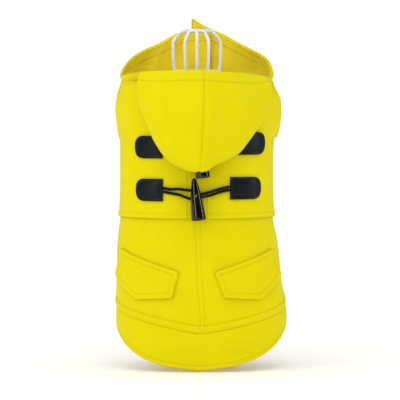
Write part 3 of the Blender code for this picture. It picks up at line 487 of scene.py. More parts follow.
def girth_of(reach, height):
    """The girth that lies this many millimetres round the body from the middle of the back."""
    return np.asarray(reach, float) / (SECTION_HALF * column(BODY, "half_width", height))


def on_body(girth, height, out, creased=True):
    """Places on the body surface, moved out along its normal and over the body's creases."""
    girth, height = np.broadcast_arrays(np.asarray(girth, float), np.asarray(height, float))
    out = np.asarray(out, float)
    if creased:
        out = out + crease_relief(reach_of(girth, height), height, BODY_CREASES)
    return body_base(girth, height) + body_normal(girth, height) * out[..., None]


def tail_hem(girth):
    """The jacket's lower edge: lowest at the back, and highest under the chest."""
    reach = np.abs(girth - 2 * np.round(np.asarray(girth) / 2)) * SECTION_HALF * HEM_HALF_WIDTH
    return column(HEM, "height", reach)


def band_seam(girth):
    """The curved seam of the hem band, which rises evenly from a rounded low point at the back."""
    reach = np.abs(girth) * SECTION_HALF * BAND_HALF_WIDTH
    return BAND_HEIGHT + BAND_RISE * (np.hypot(reach, BAND_ROUNDING) - BAND_ROUNDING)


def neckline(girth):
    """The height of the neck seam, which dips at the chest."""
    return NECKLINE + NECKLINE_DIP * np.cos(math.pi * np.asarray(girth, float))


def lap_lift(girth, side):
    """How far the right chest piece stands out where it laps over the left one."""
    return LAP_LIFT * ease(np.abs(girth), LAP_START, LAP_FULL) * (side > 0)


def chest_end(side):
    """The girth where this side's chest pieces end, past the middle of the chest."""
    return 1.0 + float(girth_of(RIGHT_LAP if side > 0 else LEFT_LAP, 250.0))


def arm_bite(height):
    """How far the armhole cuts into a panel's side edge at each height, as girth."""
    inside = np.clip(1 - ((height - ARM_HEIGHT) / ARM_RISE) ** 2, 0.0, 1.0)
    return girth_of(ARM_REACH, ARM_HEIGHT) * np.sqrt(inside)


def smooth_line(points, steps=24):
    """A smooth line through places (centripetal Catmull-Rom), along the first axis of points."""
    p = np.asarray(points, float)
    padded = np.concatenate([2 * p[:1] - p[1:2], p, 2 * p[-1:] - p[-2:-1]])
    a, b, c, d = padded[:-3], padded[1:-2], padded[2:-1], padded[3:]

    def knot(start, end):
        return np.maximum(np.linalg.norm(end - start, axis=-1, keepdims=True), 1e-6) ** 0.5

    ta = 0.0 * knot(a, b)
    tb = knot(a, b)
    tc = tb + knot(b, c)
    td = tc + knot(c, d)
    pieces = []
    for step in range(steps):
        t = tb + (tc - tb) * step / steps
        ab = (tb - t) / (tb - ta) * a + (t - ta) / (tb - ta) * b
        bc = (tc - t) / (tc - tb) * b + (t - tb) / (tc - tb) * c
        cd = (td - t) / (td - tc) * c + (t - tc) / (td - tc) * d
        abc = (tc - t) / (tc - ta) * ab + (t - ta) / (tc - ta) * bc
        bcd = (td - t) / (td - tb) * bc + (t - tb) / (td - tb) * cd
        pieces.append((tc - t) / (tc - tb) * abc + (t - tb) / (tc - tb) * bcd)
    spans = np.stack(pieces, axis=1)
    return np.concatenate([spans.reshape(-1, *p.shape[1:]), p[-1:]])


def lengths_along(line):
    """The distance of each place from the first, along the first axis."""
    steps = np.linalg.norm(np.diff(line, axis=0), axis=-1)
    return np.concatenate([0.0 * steps[:1], np.cumsum(steps, axis=0)])


def spline_through(points, count):
    """The smooth line through places as count places, evenly spaced along it."""
    dense = smooth_line(points)
    length = lengths_along(dense)
    at = np.linspace(0.0, length[-1], count)
    return np.stack([np.interp(at, length, dense[:, k]) for k in range(dense.shape[1])], axis=-1)


def graded(length, features, fine=0.45, coarse=2.2, spread=3.0):
    """Shares from 0 to 1 along a length, in fine steps near the features and coarse ones elsewhere."""
    along = np.linspace(0.0, length, 4001)
    nearness = np.max([bell(along - feature, spread) for feature in features], axis=0)
    step = coarse + (fine - coarse) * nearness
    count = np.concatenate([[0.0], np.cumsum(np.diff(along) / (0.5 * (step[1:] + step[:-1])))])
    return np.interp(np.linspace(0.0, count[-1], int(round(count[-1])) + 1), count, along / length)


# ---------------------------------------------------------------- sewing


def grid_normals(points, side=1, closed=False):
    """A grid's outward unit normals: its slope along a row crossed with its slope up a column."""
    up = np.gradient(points, axis=0)
    if closed:
        along = np.roll(points, -1, axis=1) - np.roll(points, 1, axis=1)
    else:
        along = np.gradient(points, axis=1)
    return side * unit(np.cross(along, up))


def edge_distances(points):
    """Each place's distance from the grid's four edges: bottom and top rows, first and last columns."""
    up = lengths_along(points)
    along = lengths_along(points.transpose(1, 0, 2)).T
    return {"bottom": up, "top": up[-1:] - up, "start": along, "end": along[:, -1:] - along}


def topstitched(distance, at, puff, groove):
    """A turned and topstitched edge: it puffs up before the stitches and dips at them."""
    share = np.clip(distance / at, 0.0, 1.0)
    beyond = np.clip(distance - at, 0.0, None)
    roll = puff * np.sqrt(4 * share * (1 - share) * (distance < at))
    swell = (1 - np.exp(-beyond / SWELLS_WITHIN)) * np.exp(-beyond / SETTLES_WITHIN)
    return roll - groove * bell(distance - at, GROOVE_WIDTH) + SWELL_BEYOND * puff * swell


def seamed(distance, dip=0.5, roll=0.35):
    """A plain seam: the cloth dips into it and rolls up beside it."""
    return roll * bell(distance - SEAM_ROLL_AT, SEAM_ROLL_WIDTH) - dip * bell(distance, 1.0)


def sewn(points, side, relief, closed=False):
    """A grid raised along its normals by a relief, in millimetres."""
    return points + grid_normals(points, side, closed) * relief[..., None]


def beside_edge(points, side, edge, distance, skip=(0, 0), closed=False):
    """The line this far in from an edge of a grid, with its normals. skip leaves out places at its ends."""
    normals = grid_normals(points, side, closed)
    if edge in ("start", "end"):
        points, normals = points.transpose(1, 0, 2), normals.transpose(1, 0, 2)
    if edge in ("top", "end"):
        points, normals = points[::-1], normals[::-1]
    length = lengths_along(points)
    distance = np.minimum(distance, 0.75 * length[-1])
    k = np.clip((length < distance).sum(axis=0) - 1, 0, len(points) - 2)
    beside = np.arange(points.shape[1])
    t = ((distance - length[k, beside]) / (length[k + 1, beside] - length[k, beside]))[:, None]
    line = points[k, beside] * (1 - t) + points[k + 1, beside] * t
    normal = unit(normals[k, beside] * (1 - t) + normals[k + 1, beside] * t)
    if closed:
        line, normal = np.vstack([line, line[:1]]), np.vstack([normal, normal[:1]])
    last = len(line) - skip[1]
    return line[skip[0] : last], normal[skip[0] : last]


# ---------------------------------------------------------------- meshes

# The corners of a grid's face, as steps of row and column.
FACE_CORNERS = ((0, 0), (0, 1), (1, 1), (1, 0))
# The soft edge of a tube's flat end: each ring's radius and how far in it lies, as shares of the radius.
TUBE_END = np.array([(0.03, 0.0002), (0.86, 0.0402)])


def mesh_object(name, vertices, faces, materials, face_materials=None, uv=None):
    """A mesh object at the origin. Faces are rows of four corners, and uv has a row for each corner."""
    mesh = bpy.data.meshes.new(name)
    vertices = (np.asarray(vertices).reshape(-1, 3) + FRAME_SHIFT) * MM
    faces = np.asarray(faces, np.int32)
    mesh.vertices.add(len(vertices))
    mesh.vertices.foreach_set("co", vertices.astype(np.float32).ravel())
    mesh.loops.add(faces.size)
    mesh.loops.foreach_set("vertex_index", faces.ravel())
    mesh.polygons.add(len(faces))
    mesh.polygons.foreach_set("loop_start", np.arange(len(faces), dtype=np.int32) * faces.shape[1])
    mesh.polygons.foreach_set("loop_total", np.full(len(faces), faces.shape[1], np.int32))
    for used in materials:
        mesh.materials.append(used)
    if face_materials is not None:
        mesh.polygons.foreach_set("material_index", np.asarray(face_materials, np.int32))
    if uv is not None:
        layer = mesh.uv_layers.new(name="cloth")
        layer.data.foreach_set("uv", (np.asarray(uv) * MM).astype(np.float32).ravel())
    mesh.update(calc_edges=True)
    mesh.validate()
    mesh.shade_smooth()
    made = bpy.data.objects.new(name, mesh)
    bpy.context.scene.collection.objects.link(made)
    return made


def grid_faces(rows, columns, closed=False):
    """A grid's faces, which face along a row crossed with a column, and the row and column of each."""
    across = columns if closed else columns - 1
    row, col = np.meshgrid(np.arange(rows - 1), np.arange(across), indexing="ij")
    row, col = row.ravel(), col.ravel()
    beside = (col + 1) % columns
    here, ahead = row * columns, (row + 1) * columns
    return np.stack([here + col, here + beside, ahead + beside, ahead + col], axis=-1), row, col


def capped_rings(points):
    """Stacked rings closed at both ends by fans: vertices, faces, and each side face's row and column."""
    count, around = points.shape[:2]
    sides, row, col = grid_faces(count, around, closed=True)
    pole = count * around
    k = np.arange(0, around, 2)
    pair = np.stack([k, (k + 1) % around, (k + 2) % around], axis=-1)
    first_fan = np.column_stack([np.full(len(k), pole), pair[:, ::-1]])
    last_fan = np.column_stack([np.full(len(k), pole + 1), pair + pole - around])
    vertices = np.vstack([points.reshape(-1, 3), points[0].mean(axis=0), points[-1].mean(axis=0)])
    return vertices, np.vstack([sides, first_fan, last_fan]), row, col


def rim_loops(rows, columns, closed):
    """The boundary of a grid as loops of places, anticlockwise as seen from outside."""
    index = np.arange(rows * columns).reshape(rows, columns)
    if closed:
        return [index[0], index[-1][::-1]]
    return [np.concatenate([index[0, :-1], index[:-1, -1], index[-1, :0:-1], index[:0:-1, 0]])]


def at_edges(shape, values, otherwise):
    """A grid that holds one value, and others along the edges that are named."""
    grid = np.full(shape, float(otherwise))
    lines = {"bottom": np.s_[0, :], "top": np.s_[-1, :], "start": np.s_[:, 0], "end": np.s_[:, -1]}
    for edge, value in values.items():
        grid[lines[edge]] = value
    return grid.reshape(-1)


def calm_rim(normal, closed, deep=9, fade=4):
    """A grid's normals, drawn near its boundary to the mean beside it, so a steep edge doesn't tilt."""
    calm = normal.copy()
    views = [calm, calm[::-1]]
    if not closed:
        views += [calm.transpose(1, 0, 2), calm[:, ::-1].transpose(1, 0, 2)]
    for view in views:
        mean = unit(view[:deep].mean(axis=0))
        for k in range(fade):
            share = 1 - k / fade
            view[k] = unit(mean * share + view[k] * (1 - share))
    return calm


def shell(name, outer, wall, skins, closed=False, sewn_edges=None, lining_relief=None, rim_steps=3):
    """Cloth with two skins and a round edge, from the grid of its outer skin.

    The inner skin is the outer one moved in along the normal by the wall. Along the boundary the skins
    draw in by half the wall, and half-circle steps of that radius join them, so that the round edge ends
    where the piece was cut. Sewn edges are barely rounded, and reach further by the millimetres given.
    """
    rows, columns = outer.shape[:2]
    normal = calm_rim(grid_normals(outer, 1, closed), closed)
    half = wall / 2
    middle = (outer - normal * half).reshape(-1, 3)
    flat_normal = normal.reshape(-1, 3)
    outward = np.zeros_like(middle)
    loops = rim_loops(rows, columns, closed)
    for loop in loops:
        tangent = np.roll(middle[loop], -1, axis=0) - np.roll(middle[loop], 1, axis=0)
        outward[loop] = unit(np.cross(tangent, flat_normal[loop]))
    sewn_edges = sewn_edges or {}
    rounding = half * at_edges((rows, columns), {edge: SEWN_ROUNDING for edge in sewn_edges}, 1.0)
    reach = at_edges((rows, columns), sewn_edges, 0.0)
    pulled = middle + outward * (reach - rounding)[:, None]
    thicker = np.zeros(len(middle)) if lining_relief is None else lining_relief.reshape(-1)
    vertices = [pulled + flat_normal * half, pulled - flat_normal * (half + thicker)[:, None]]
    count = rows * columns
    faces, row, col = grid_faces(rows, columns, closed)
    along = lengths_along(outer.transpose(1, 0, 2)).T
    if closed:
        last = np.linalg.norm(outer[:, 0] - outer[:, -1], axis=1)
        along = np.hstack([along, along[:, -1:] + last[:, None]])
    up = lengths_along(outer)
    up = np.hstack([up, up[:, :1]])
    cut_map = np.stack([along, up[:, : along.shape[1]]], axis=-1)
    corner_uv = np.stack([cut_map[row + r, col + c] for r, c in FACE_CORNERS], axis=1)
    all_faces, all_uv = [faces, count + faces[:, ::-1]], [corner_uv, corner_uv[:, ::-1]]
    slots = [np.zeros(len(faces), int), np.ones(len(faces), int)]
    next_vertex = 2 * count
    for loop in loops:
        rings = [loop]
        for angle in np.linspace(0.0, math.pi, rim_steps + 2)[1:-1]:
            size = half + thicker[loop] * (1 - math.cos(angle)) / 2
            rim = pulled[loop] + flat_normal[loop] * (math.cos(angle) * size)[:, None]
            vertices.append(rim + outward[loop] * (math.sin(angle) * rounding[loop])[:, None])
            rings.append(next_vertex + np.arange(len(loop)))
            next_vertex += len(loop)
        rings.append(count + loop)
        flat_uv = cut_map[:, :columns].reshape(-1, 2)[loop]
        for near, far in zip(rings[:-1], rings[1:]):
            ring_faces = np.stack([near, far, np.roll(far, -1), np.roll(near, -1)], axis=-1)
            all_faces.append(ring_faces)
            all_uv.append(np.stack([flat_uv, flat_uv, np.roll(flat_uv, -1, 0), np.roll(flat_uv, -1, 0)], 1))
            slots.append(np.zeros(len(ring_faces), int))
    uv = np.vstack(all_uv).reshape(-1, 2)
    return mesh_object(name, np.vstack(vertices), np.vstack(all_faces), skins, np.concatenate(slots), uv)


def carried_frames(line, cyclic=False):
    """Tangents of a line and two unit directions across it that turn as little as they can along it."""
    if cyclic:
        tangent = unit(np.roll(line, -1, axis=0) - np.roll(line, 1, axis=0))
    else:
        tangent = unit(np.gradient(line, axis=0))
    side = np.empty_like(line)
    helper = np.array([0.0, 0.0, 1.0]) if abs(tangent[0, 2]) < 0.9 else np.array([0.0, 1.0, 0.0])
    side[0] = unit(np.cross(tangent[0], helper))
    for k in range(1, len(line)):
        side[k] = unit(side[k - 1] - tangent[k] * (side[k - 1] @ tangent[k]))
    return tangent, side, np.cross(tangent, side)


def tube(name, line, radius, skins, around=16, cyclic=False):
    """A round tube along a line. Its ends are flat, with a soft edge."""
    line = np.asarray(line, float)
    radii = np.full(len(line), float(radius))
    if not cyclic:
        tangent, _, _ = carried_frames(line)
        share, far_in = TUBE_END[:, 0], TUBE_END[:, 1:] * radius
        first, last = line[:1] + tangent[:1] * far_in, line[-1:] - tangent[-1:] * far_in[::-1]
        line = np.vstack([first, line[1:-1], last])
        radii = np.concatenate([radius * share, radii[1:-1], radius * share[::-1]])
    _, side, over = carried_frames(line, cyclic)
    turn = np.linspace(0.0, 2 * math.pi, around, endpoint=False)
    ring = np.cos(turn)[None, :, None] * side[:, None] + np.sin(turn)[None, :, None] * over[:, None]
    points = line[:, None] + ring * radii[:, None, None]
    if cyclic:
        vertices = points.reshape(-1, 3)
        faces, row, col = grid_faces(len(line) + 1, around, closed=True)
        faces = faces % len(vertices)
    else:
        vertices, faces, row, col = capped_rings(points)
    along = lengths_along(line)
    along = np.append(along, along[-1] + np.linalg.norm(line[0] - line[-1]))
    round_it = np.arange(around + 1) * (2 * math.pi * radius / around)
    uv = np.stack([np.stack([round_it[col + c], along[row + r]], axis=-1) for r, c in FACE_CORNERS], axis=1)
    uv = np.vstack([uv, np.zeros((len(faces) - len(uv), 4, 2))])
    return mesh_object(name, vertices, faces, skins, uv=uv.reshape(-1, 2))


def stitches(name, runs, thread, pitch=STITCH_PITCH, length=STITCH_LENGTH, thick=THREAD):
    """Rows of stitches along lines: each is a small rounded bar whose ends dive into the cloth."""
    along = np.array([-1.0, -0.72, 0.0, 0.72, 1.0])
    girth = np.array([0.35, 0.9, 1.0, 0.9, 0.35])
    lift = np.array([-0.9, -0.1, 0.30, -0.1, -0.9]) * thick
    turn = np.linspace(0.0, 2 * math.pi, 6, endpoint=False)
    ring_count, around = len(along), len(turn)
    local = np.stack(
        [
            np.repeat(along * length / 2, around),
            (girth[:, None] * thick / 2 * np.cos(turn)).ravel(),
            (girth[:, None] * thick / 2 * np.sin(turn) + lift[:, None]).ravel(),
        ],
        axis=-1,
    )
    bar_faces, _, _ = grid_faces(ring_count, around, closed=True)
    far = (ring_count - 1) * around
    caps = [[3, 2, 1, 0], [5, 4, 3, 0], [far, far + 1, far + 2, far + 3], [far, far + 3, far + 4, far + 5]]
    one = np.vstack([bar_faces[:, ::-1], [cap[::-1] for cap in caps]])
    places = []
    for line, normals in runs:
        distance = lengths_along(line)
        count = max(1, int(distance[-1] / pitch))
        middle = (np.arange(count) + 0.5) * distance[-1] / count

        def at(where, values):
            return np.stack([np.interp(where, distance, values[:, k]) for k in range(3)], axis=-1)

        way = unit(at(middle + length / 2, line) - at(middle - length / 2, line))
        normal = at(middle, normals)
        normal = unit(normal - way * np.sum(normal * way, axis=1, keepdims=True))
        across = np.cross(normal, way)
        axes = np.stack([way, across, normal], axis=1)
        places.append(at(middle, line)[:, None] + local @ axes)
    vertices = np.vstack(places)
    offsets = np.arange(len(vertices)) * local.shape[0]
    faces = (one[None] + offsets[:, None, None]).reshape(-1, 4)
    return mesh_object(name, vertices, faces, [thread])


# ---------------------------------------------------------------- materials


class Value:
    """A socket or number in shader arithmetic: each operator adds its Math node."""

    def __init__(self, tree, socket):
        self.tree, self.socket = tree, socket

    def _math(self, operation, *terms):
        return self.tree.node("ShaderNodeMath", {"operation": operation}, dict(enumerate(terms)))

    def __add__(self, other):
        return self._math("ADD", self, other)

    def __sub__(self, other):
        return self._math("SUBTRACT", self, other)

    def __mul__(self, other):
        return self._math("MULTIPLY", self, other)

    def __pow__(self, other):
        return self._math("POWER", self, other)

    def sine(self):
        return self._math("SINE", self)

    def absolute(self):
        return self._math("ABSOLUTE", self)

    def step(self, low, high):
        """0 below low, 1 above high, and a smooth step between."""
        span = {"Value": self, "From Min": low, "From Max": high}
        return self.tree.node("ShaderNodeMapRange", {"interpolation_type": "SMOOTHSTEP"}, span)


class Finish:
    """A material and its node tree, with one method that adds any node."""

    def __init__(self, name):
        self.material = bpy.data.materials.new(name)
        self.material.use_nodes = True
        self.tree = self.material.node_tree
        self.shader = self.tree.nodes["Principled BSDF"]

    def put(self, socket, value):
        """Sets a socket to a plain value, or links a shader value to it."""
        if isinstance(value, Value):
            self.tree.links.new(value.socket, socket)
        elif isinstance(value, tuple) and socket.type == "RGBA":
            socket.default_value = (*value, 1.0)
        else:
            socket.default_value = value

    def node(self, kind, settings=None, inputs=None, output=0):
        """Adds a node with its settings and inputs, and gives one of its outputs."""
        made = self.tree.nodes.new(kind)
        for key, value in (settings or {}).items():
            setattr(made, key, value)
        for key, value in (inputs or {}).items():
            self.put(made.inputs[key], value)
        return Value(self, made.outputs[output])

    def noise(self, place, scale, detail=2.0, roughness=0.5):
        inputs = {"Vector": place, "Scale": scale, "Detail": detail, "Roughness": roughness}
        return self.node("ShaderNodeTexNoise", {}, inputs)

    def place(self):
        return self.node("ShaderNodeTexCoord", output="Object")

    def cloth_place(self):
        """The piece's own map, in metres along and up its cut."""
        return self.node("ShaderNodeUVMap", {"uv_map": "cloth"})

    def parts(self, vector):
        """A vector's x, y and z."""
        split = self.tree.nodes.new("ShaderNodeSeparateXYZ")
        self.put(split.inputs[0], vector)
        return [Value(self, split.outputs[k]) for k in range(3)]

    def mix(self, share, low, high):
        return self.node("ShaderNodeMix", {"data_type": "RGBA"}, {0: share, 6: low, 7: high}, output=2)

    def bump(self, height, distance, strength=1.0, under=None):
        inputs = {"Height": height, "Distance": distance, "Strength": strength}
        if under is not None:
            inputs["Normal"] = under
        return self.node("ShaderNodeBump", {}, inputs)

    def finish(self, **sockets):
        """Sets the shader's named sockets, and gives the material."""
        for name, value in sockets.items():
            self.put(self.shader.inputs[name.replace("_", " ").title().replace("Ior", "IOR")], value)
        return self.material


def coated_cloth(name, colour, deep):
    """Coated rain cloth: a fine pebbled face over a faint square weave, softly mottled in colour."""
    made = Finish(name)
    place = made.place()
    across, up, _ = made.parts(made.cloth_place())
    pebble = made.noise(place, 1500.0, 2.0, 0.55)
    mottle = made.noise(place, 42.0, 3.0, 0.6)
    weave = (across * 9000.0).sine() * (up * 9000.0).sine()
    height = pebble * 0.7 + weave * 0.08 + made.noise(place, 260.0) * 0.5
    shade = mottle.step(0.32, 0.7)
    return made.finish(
        base_color=made.mix(shade, deep, colour),
        roughness=pebble * 0.12 + 0.46,
        normal=made.bump(height, 0.00012, 0.35),
        specular_ior_level=0.04,
    )


def knit_lining(name, colour, deep):
    """The cloth's knitted back: fine wales up the cut under a brushed nap, deeper in colour in patches."""
    made = Finish(name)
    place = made.place()
    across, up, _ = made.parts(made.cloth_place())
    wale = (across * 5600.0 + (up * 5600.0).sine() * 0.7).sine()
    nap = made.noise(place, 900.0, 4.0, 0.7)
    mottle = made.noise(place, 60.0, 3.0, 0.6)
    shade = (mottle * 0.6 + nap * 0.3 + wale * 0.05).step(0.25, 0.62)
    return made.finish(
        base_color=made.mix(shade, deep, colour),
        roughness=nap * 0.1 + 0.8,
        normal=made.bump(nap * 0.8 + wale * 0.35, 0.0002, 0.5),
        specular_ior_level=0.05,
    )


def sewing_thread(name, colour):
    """Twisted thread: fine slanting plies in the bump."""
    made = Finish(name)
    x, y, z = made.parts(made.place())
    ply = ((x + y * 0.7 + z) * 14000.0).sine()
    return made.finish(
        base_color=colour,
        roughness=0.6,
        normal=made.bump(ply, 0.00008, 0.4),
        specular_ior_level=0.15,
    )


def black_leather(name):
    """Thin black leather: pebbled grain with a few broad wrinkles, paler where the grain is rubbed."""
    made = Finish(name)
    place = made.place()
    grain = made.node("ShaderNodeTexVoronoi", {"feature": "SMOOTH_F1"}, {"Vector": place, "Scale": 1100.0})
    wrinkle = made.noise(place, 130.0, 3.0, 0.6)
    rub = (made.noise(place, 90.0, 4.0, 0.7) * 0.6 + grain * 0.4).step(0.35, 0.75)
    return made.finish(
        base_color=made.mix(rub, (0.004, 0.007, 0.008), (0.010, 0.015, 0.018)),
        roughness=grain * 0.2 + 0.28,
        normal=made.bump(grain * 0.5 + wrinkle * 0.6, 0.00025, 0.5),
        specular_ior_level=0.12,
    )


def braided_cord(name):
    """Black braided cord: two families of strands that wind round it opposite ways."""
    made = Finish(name)
    across, up, _ = made.parts(made.cloth_place())
    right = ((across * 1.0 + up * 1.0) * 4290.0).sine()
    left = ((across * 1.0 - up * 1.0) * 4290.0).sine()
    braid = (right * left).absolute() ** 0.5
    fuzz = made.noise(made.place(), 1600.0, 3.0, 0.7)
    return made.finish(
        base_color=made.mix(braid, (0.003, 0.003, 0.004), (0.013, 0.014, 0.016)),
        roughness=fuzz * 0.2 + 0.45,
        normal=made.bump(braid + fuzz * 0.3, 0.0004, 0.9),
        specular_ior_level=0.2,
    )


def polished_horn(name):
    """Black imitation horn, polished: almost black, with faint streaks along it and fine rubbing marks."""
    made = Finish(name)
    x, y, z = made.parts(made.place())
    stretched = made.node("ShaderNodeCombineXYZ", {}, {0: x * 3.0, 1: y * 3.0, 2: z * 0.25})
    streak = made.noise(stretched, 260.0, 3.0, 0.6)
    wear = made.noise(made.place(), 300.0, 4.0, 0.7)
    return made.finish(
        base_color=made.mix(streak.step(0.45, 0.75), (0.003, 0.003, 0.004), (0.010, 0.010, 0.010)),
        roughness=wear * 0.10 + 0.10,
        normal=made.bump(wear, 0.0001, 0.15),
        specular_ior_level=0.5,
    )


def coated_wire(name):
    """White dipped coating on steel: slightly uneven, cool white, a little dulled where it is thin."""
    made = Finish(name)
    uneven = made.noise(made.place(), 180.0, 3.0, 0.6)
    return made.finish(
        base_color=made.mix(uneven.step(0.3, 0.7), (0.70, 0.73, 0.76), (0.83, 0.85, 0.87)),
        roughness=uneven * 0.15 + 0.28,
        normal=made.bump(uneven, 0.0003, 0.25),
        coat_weight=0.2,
        coat_roughness=0.2,
    )


def pale_floor(name):
    """A plain pale studio floor."""
    made = Finish(name)
    faint = made.noise(made.place(), 3.0)
    return made.finish(
        base_color=made.mix(faint, (0.955, 0.955, 0.955), (0.975, 0.975, 0.975)),
        roughness=0.9,
        specular_ior_level=0.0,
    )


YELLOW = coated_cloth("yellow_cloth_face", (0.738, 0.636, 0.0012), (0.716, 0.614, 0.0012))
LINING = knit_lining("yellow_cloth_back", (0.93, 0.76, 0.040), (0.86, 0.66, 0.016))
YELLOW_THREAD = sewing_thread("yellow_thread", (0.80, 0.67, 0.002))
LEATHER = black_leather("black_leather_tabs")
BLACK_THREAD = sewing_thread("black_thread", (0.030, 0.034, 0.038))
BRAID = braided_cord("black_braided_cord")
HORN = polished_horn("black_horn_toggles")
WHITE = coated_wire("white_coated_wire")
CLOTH_SKINS = [YELLOW, LINING]


def keep(piece, node):
    """The piece stands for a solid, which is hidden, and rides with the part."""
    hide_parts(node)
    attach(piece, "root")


def add_on(piece):
    """A piece that has no solid of its own, such as a row of stitches."""
    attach(piece, "root")
    return piece


def word(side):
    """The side's name in a piece or a node."""
    return "right" if side > 0 else "left"


def faced(points, side):
    """The left pieces are mirror-ordered, so their columns are turned round to face outwards."""
    return points if side > 0 else points[:, ::-1]


# What each cloth piece was cut to: width and length of the cut's box, and its flat area, in metres.
Cut = namedtuple("Cut", "width length area")


def panel(name, points, side, wall, sewn_at=()):
    """A cut piece from the grid of its outer skin. sewn_at names the edges that are sewn to a neighbour."""
    reach = {edge: ARMHOLE_REACH if edge == "end" else SEAM_REACH for edge in sewn_at}
    if side < 0:
        turned = {"start": "end", "end": "start"}
        reach = {turned.get(edge, edge): value for edge, value in reach.items()}
    return shell(name, faced(points, side), wall, CLOTH_SKINS, sewn_edges=reach)


# ---------------------------------------------------------------- back, belly, yoke, hem band and placket

FORM_WIRES = [f"form_wire_{index + 1}" for index in range(len(FORM_GIRTHS))]

ARM_FEATURES = (ARM_HEIGHT - ARM_RISE, ARM_HEIGHT + ARM_RISE)


def back_start(side):
    """Where this side's back panel starts: at the back seam, less half its gap."""
    return float(girth_of(side * BACK_SEAM_X + GAP / 2, 200.0))


def half_panel(side, lowest, highest, across, up):
    """Girths and heights between two lines, from the back seam to the side seam and round the armhole."""
    seam = float(girth_of(GAP / 2, 250.0))
    start = back_start(side)
    plain = start + (SIDE_SEAM - seam - start) * across[None, :]
    low, high = lowest(plain), highest(plain)
    height = low + (high - low) * up[:, None]
    return side * (plain - arm_bite(height) * across[None, :] ** 3), height


def make_back_panel(side):
    """From the band's seam to the neckline, seamed in the middle, with a stitched welt above the band."""
    lower = band_seam(0.0)
    across = graded(BACK_WIDTH, (0.0, SEAM_STITCH, BACK_WIDTH))
    up = graded(BACK_LENGTH, (0.0, BAND_STITCH, *(h - lower for h in ARM_FEATURES), BACK_LENGTH))
    girth, height = half_panel(side, lambda g: band_seam(g) + GAP / 2, neckline, across, up)
    points = on_body(girth, height, 0.0 * girth + CLOTH / 2)
    far = edge_distances(points)
    below_yoke = 1 - ease(height, YOKE_EDGE - 6.0, YOKE_EDGE)
    relief = topstitched(far["bottom"], BAND_STITCH, puff=1.25, groove=0.6)
    relief = relief + seamed(far["end"]) * below_yoke
    if side > 0:
        relief = relief + topstitched(far["start"], SEAM_STITCH, puff=0.35, groove=0.4) * below_yoke
    relief = relief + seamed(far["start"], dip=0.3, roll=0.25) * below_yoke
    points = sewn(points, side, relief)
    piece = panel(f"back_panel_{word(side)}", points, side, CLOTH, ("bottom", "start", "end", "top"))
    keep(piece, f"back_{word(side)}")
    rows_below = int((height[:, 0] < YOKE_EDGE - 1).sum())
    runs = [beside_edge(points, side, "bottom", BAND_STITCH, (2, 1))]
    if side > 0:
        line, normal = beside_edge(points, side, "start", SEAM_STITCH)
        runs.append((line[8:rows_below], normal[8:rows_below]))
    thread = add_on(stitches(f"back_stitches_{word(side)}", runs, YELLOW_THREAD))


def yoke_top(girth):
    """The yoke's top edge: just below the neck seam, and turned up over it at the shoulders."""
    return neckline(girth) - YOKE_BELOW_NECK + YOKE_TURNED_UP * ease(np.abs(girth), 0.26, 0.33)


def make_yoke(side):
    """The cape over the shoulders, with a topstitched lower edge that stands off the back a little."""
    across = graded(BACK_WIDTH, (0.0, BACK_WIDTH))
    up = graded(YOKE_LENGTH, (0.0, YOKE_STITCH, *(h - YOKE_EDGE for h in ARM_FEATURES)))
    girth, height = half_panel(side, lambda g: YOKE_EDGE + 0.0 * g, yoke_top, across, up)
    reach = side * reach_of(np.abs(girth), height)
    waves = sum(0.7 * bell(reach - at, YOKE_WAVE_WIDTH) for at in YOKE_WAVES)
    flare = (0.5 + waves) * (1 - ease(height, YOKE_EDGE, YOKE_EDGE + 18.0))
    points = on_body(girth, height, YOKE_OUT + YOKE_CLOTH / 2 + flare)
    far = edge_distances(points)
    relief = topstitched(far["bottom"], YOKE_STITCH, puff=0.35, groove=0.35)
    relief = relief + seamed(far["end"], dip=0.1, roll=0.3)
    beside_arm = bell(height - ARM_HEIGHT, ARM_RISE) * (1 - ease(far["end"], 0.0, ARM_SWELL_REACH))
    relief = relief + ARM_SWELL[side] * beside_arm
    points = sewn(points, side, relief)
    piece = panel(f"yoke_cape_{word(side)}", points, side, YOKE_CLOTH, ("start", "end"))
    keep(piece, f"yoke_{word(side)}")
    runs = [beside_edge(points, side, "bottom", YOKE_STITCH, (6, 1))]
    thread = add_on(stitches(f"yoke_stitches_{word(side)}", runs, YELLOW_THREAD))


def make_hem_band():
    """The curved tail band, which swells out in its middle and ends in a topstitched hem."""
    seam = float(girth_of(GAP / 2, 60.0))
    girth = np.linspace(-SIDE_SEAM + seam, SIDE_SEAM - seam, 151)[None, :]
    top, bottom = band_seam(girth) - GAP / 2, tail_hem(girth)
    share = graded(BAND_DEPTH, (0.0, HEM_STITCH, BAND_DEPTH), coarse=1.6)[:, None]
    height = bottom + (top - bottom) * share
    girth = np.repeat(girth, len(share), axis=0)
    swell = 0.7 * np.sin(math.pi * share)
    points = on_body(girth, height, CLOTH / 2 + swell)
    far = edge_distances(points)
    relief = topstitched(far["bottom"], HEM_STITCH, puff=0.55, groove=0.5)
    relief = relief + seamed(far["top"], dip=0.6, roll=0.0) + seamed(far["start"]) + seamed(far["end"])
    points = sewn(points, 1, relief)
    piece = panel("hem_tail_band", points, 1, CLOTH, ("top", "start", "end"))
    keep(piece, "hem_band")
    runs = [beside_edge(points, 1, "bottom", HEM_STITCH, (1, 1))]
    thread = add_on(stitches("hem_stitches", runs, YELLOW_THREAD))


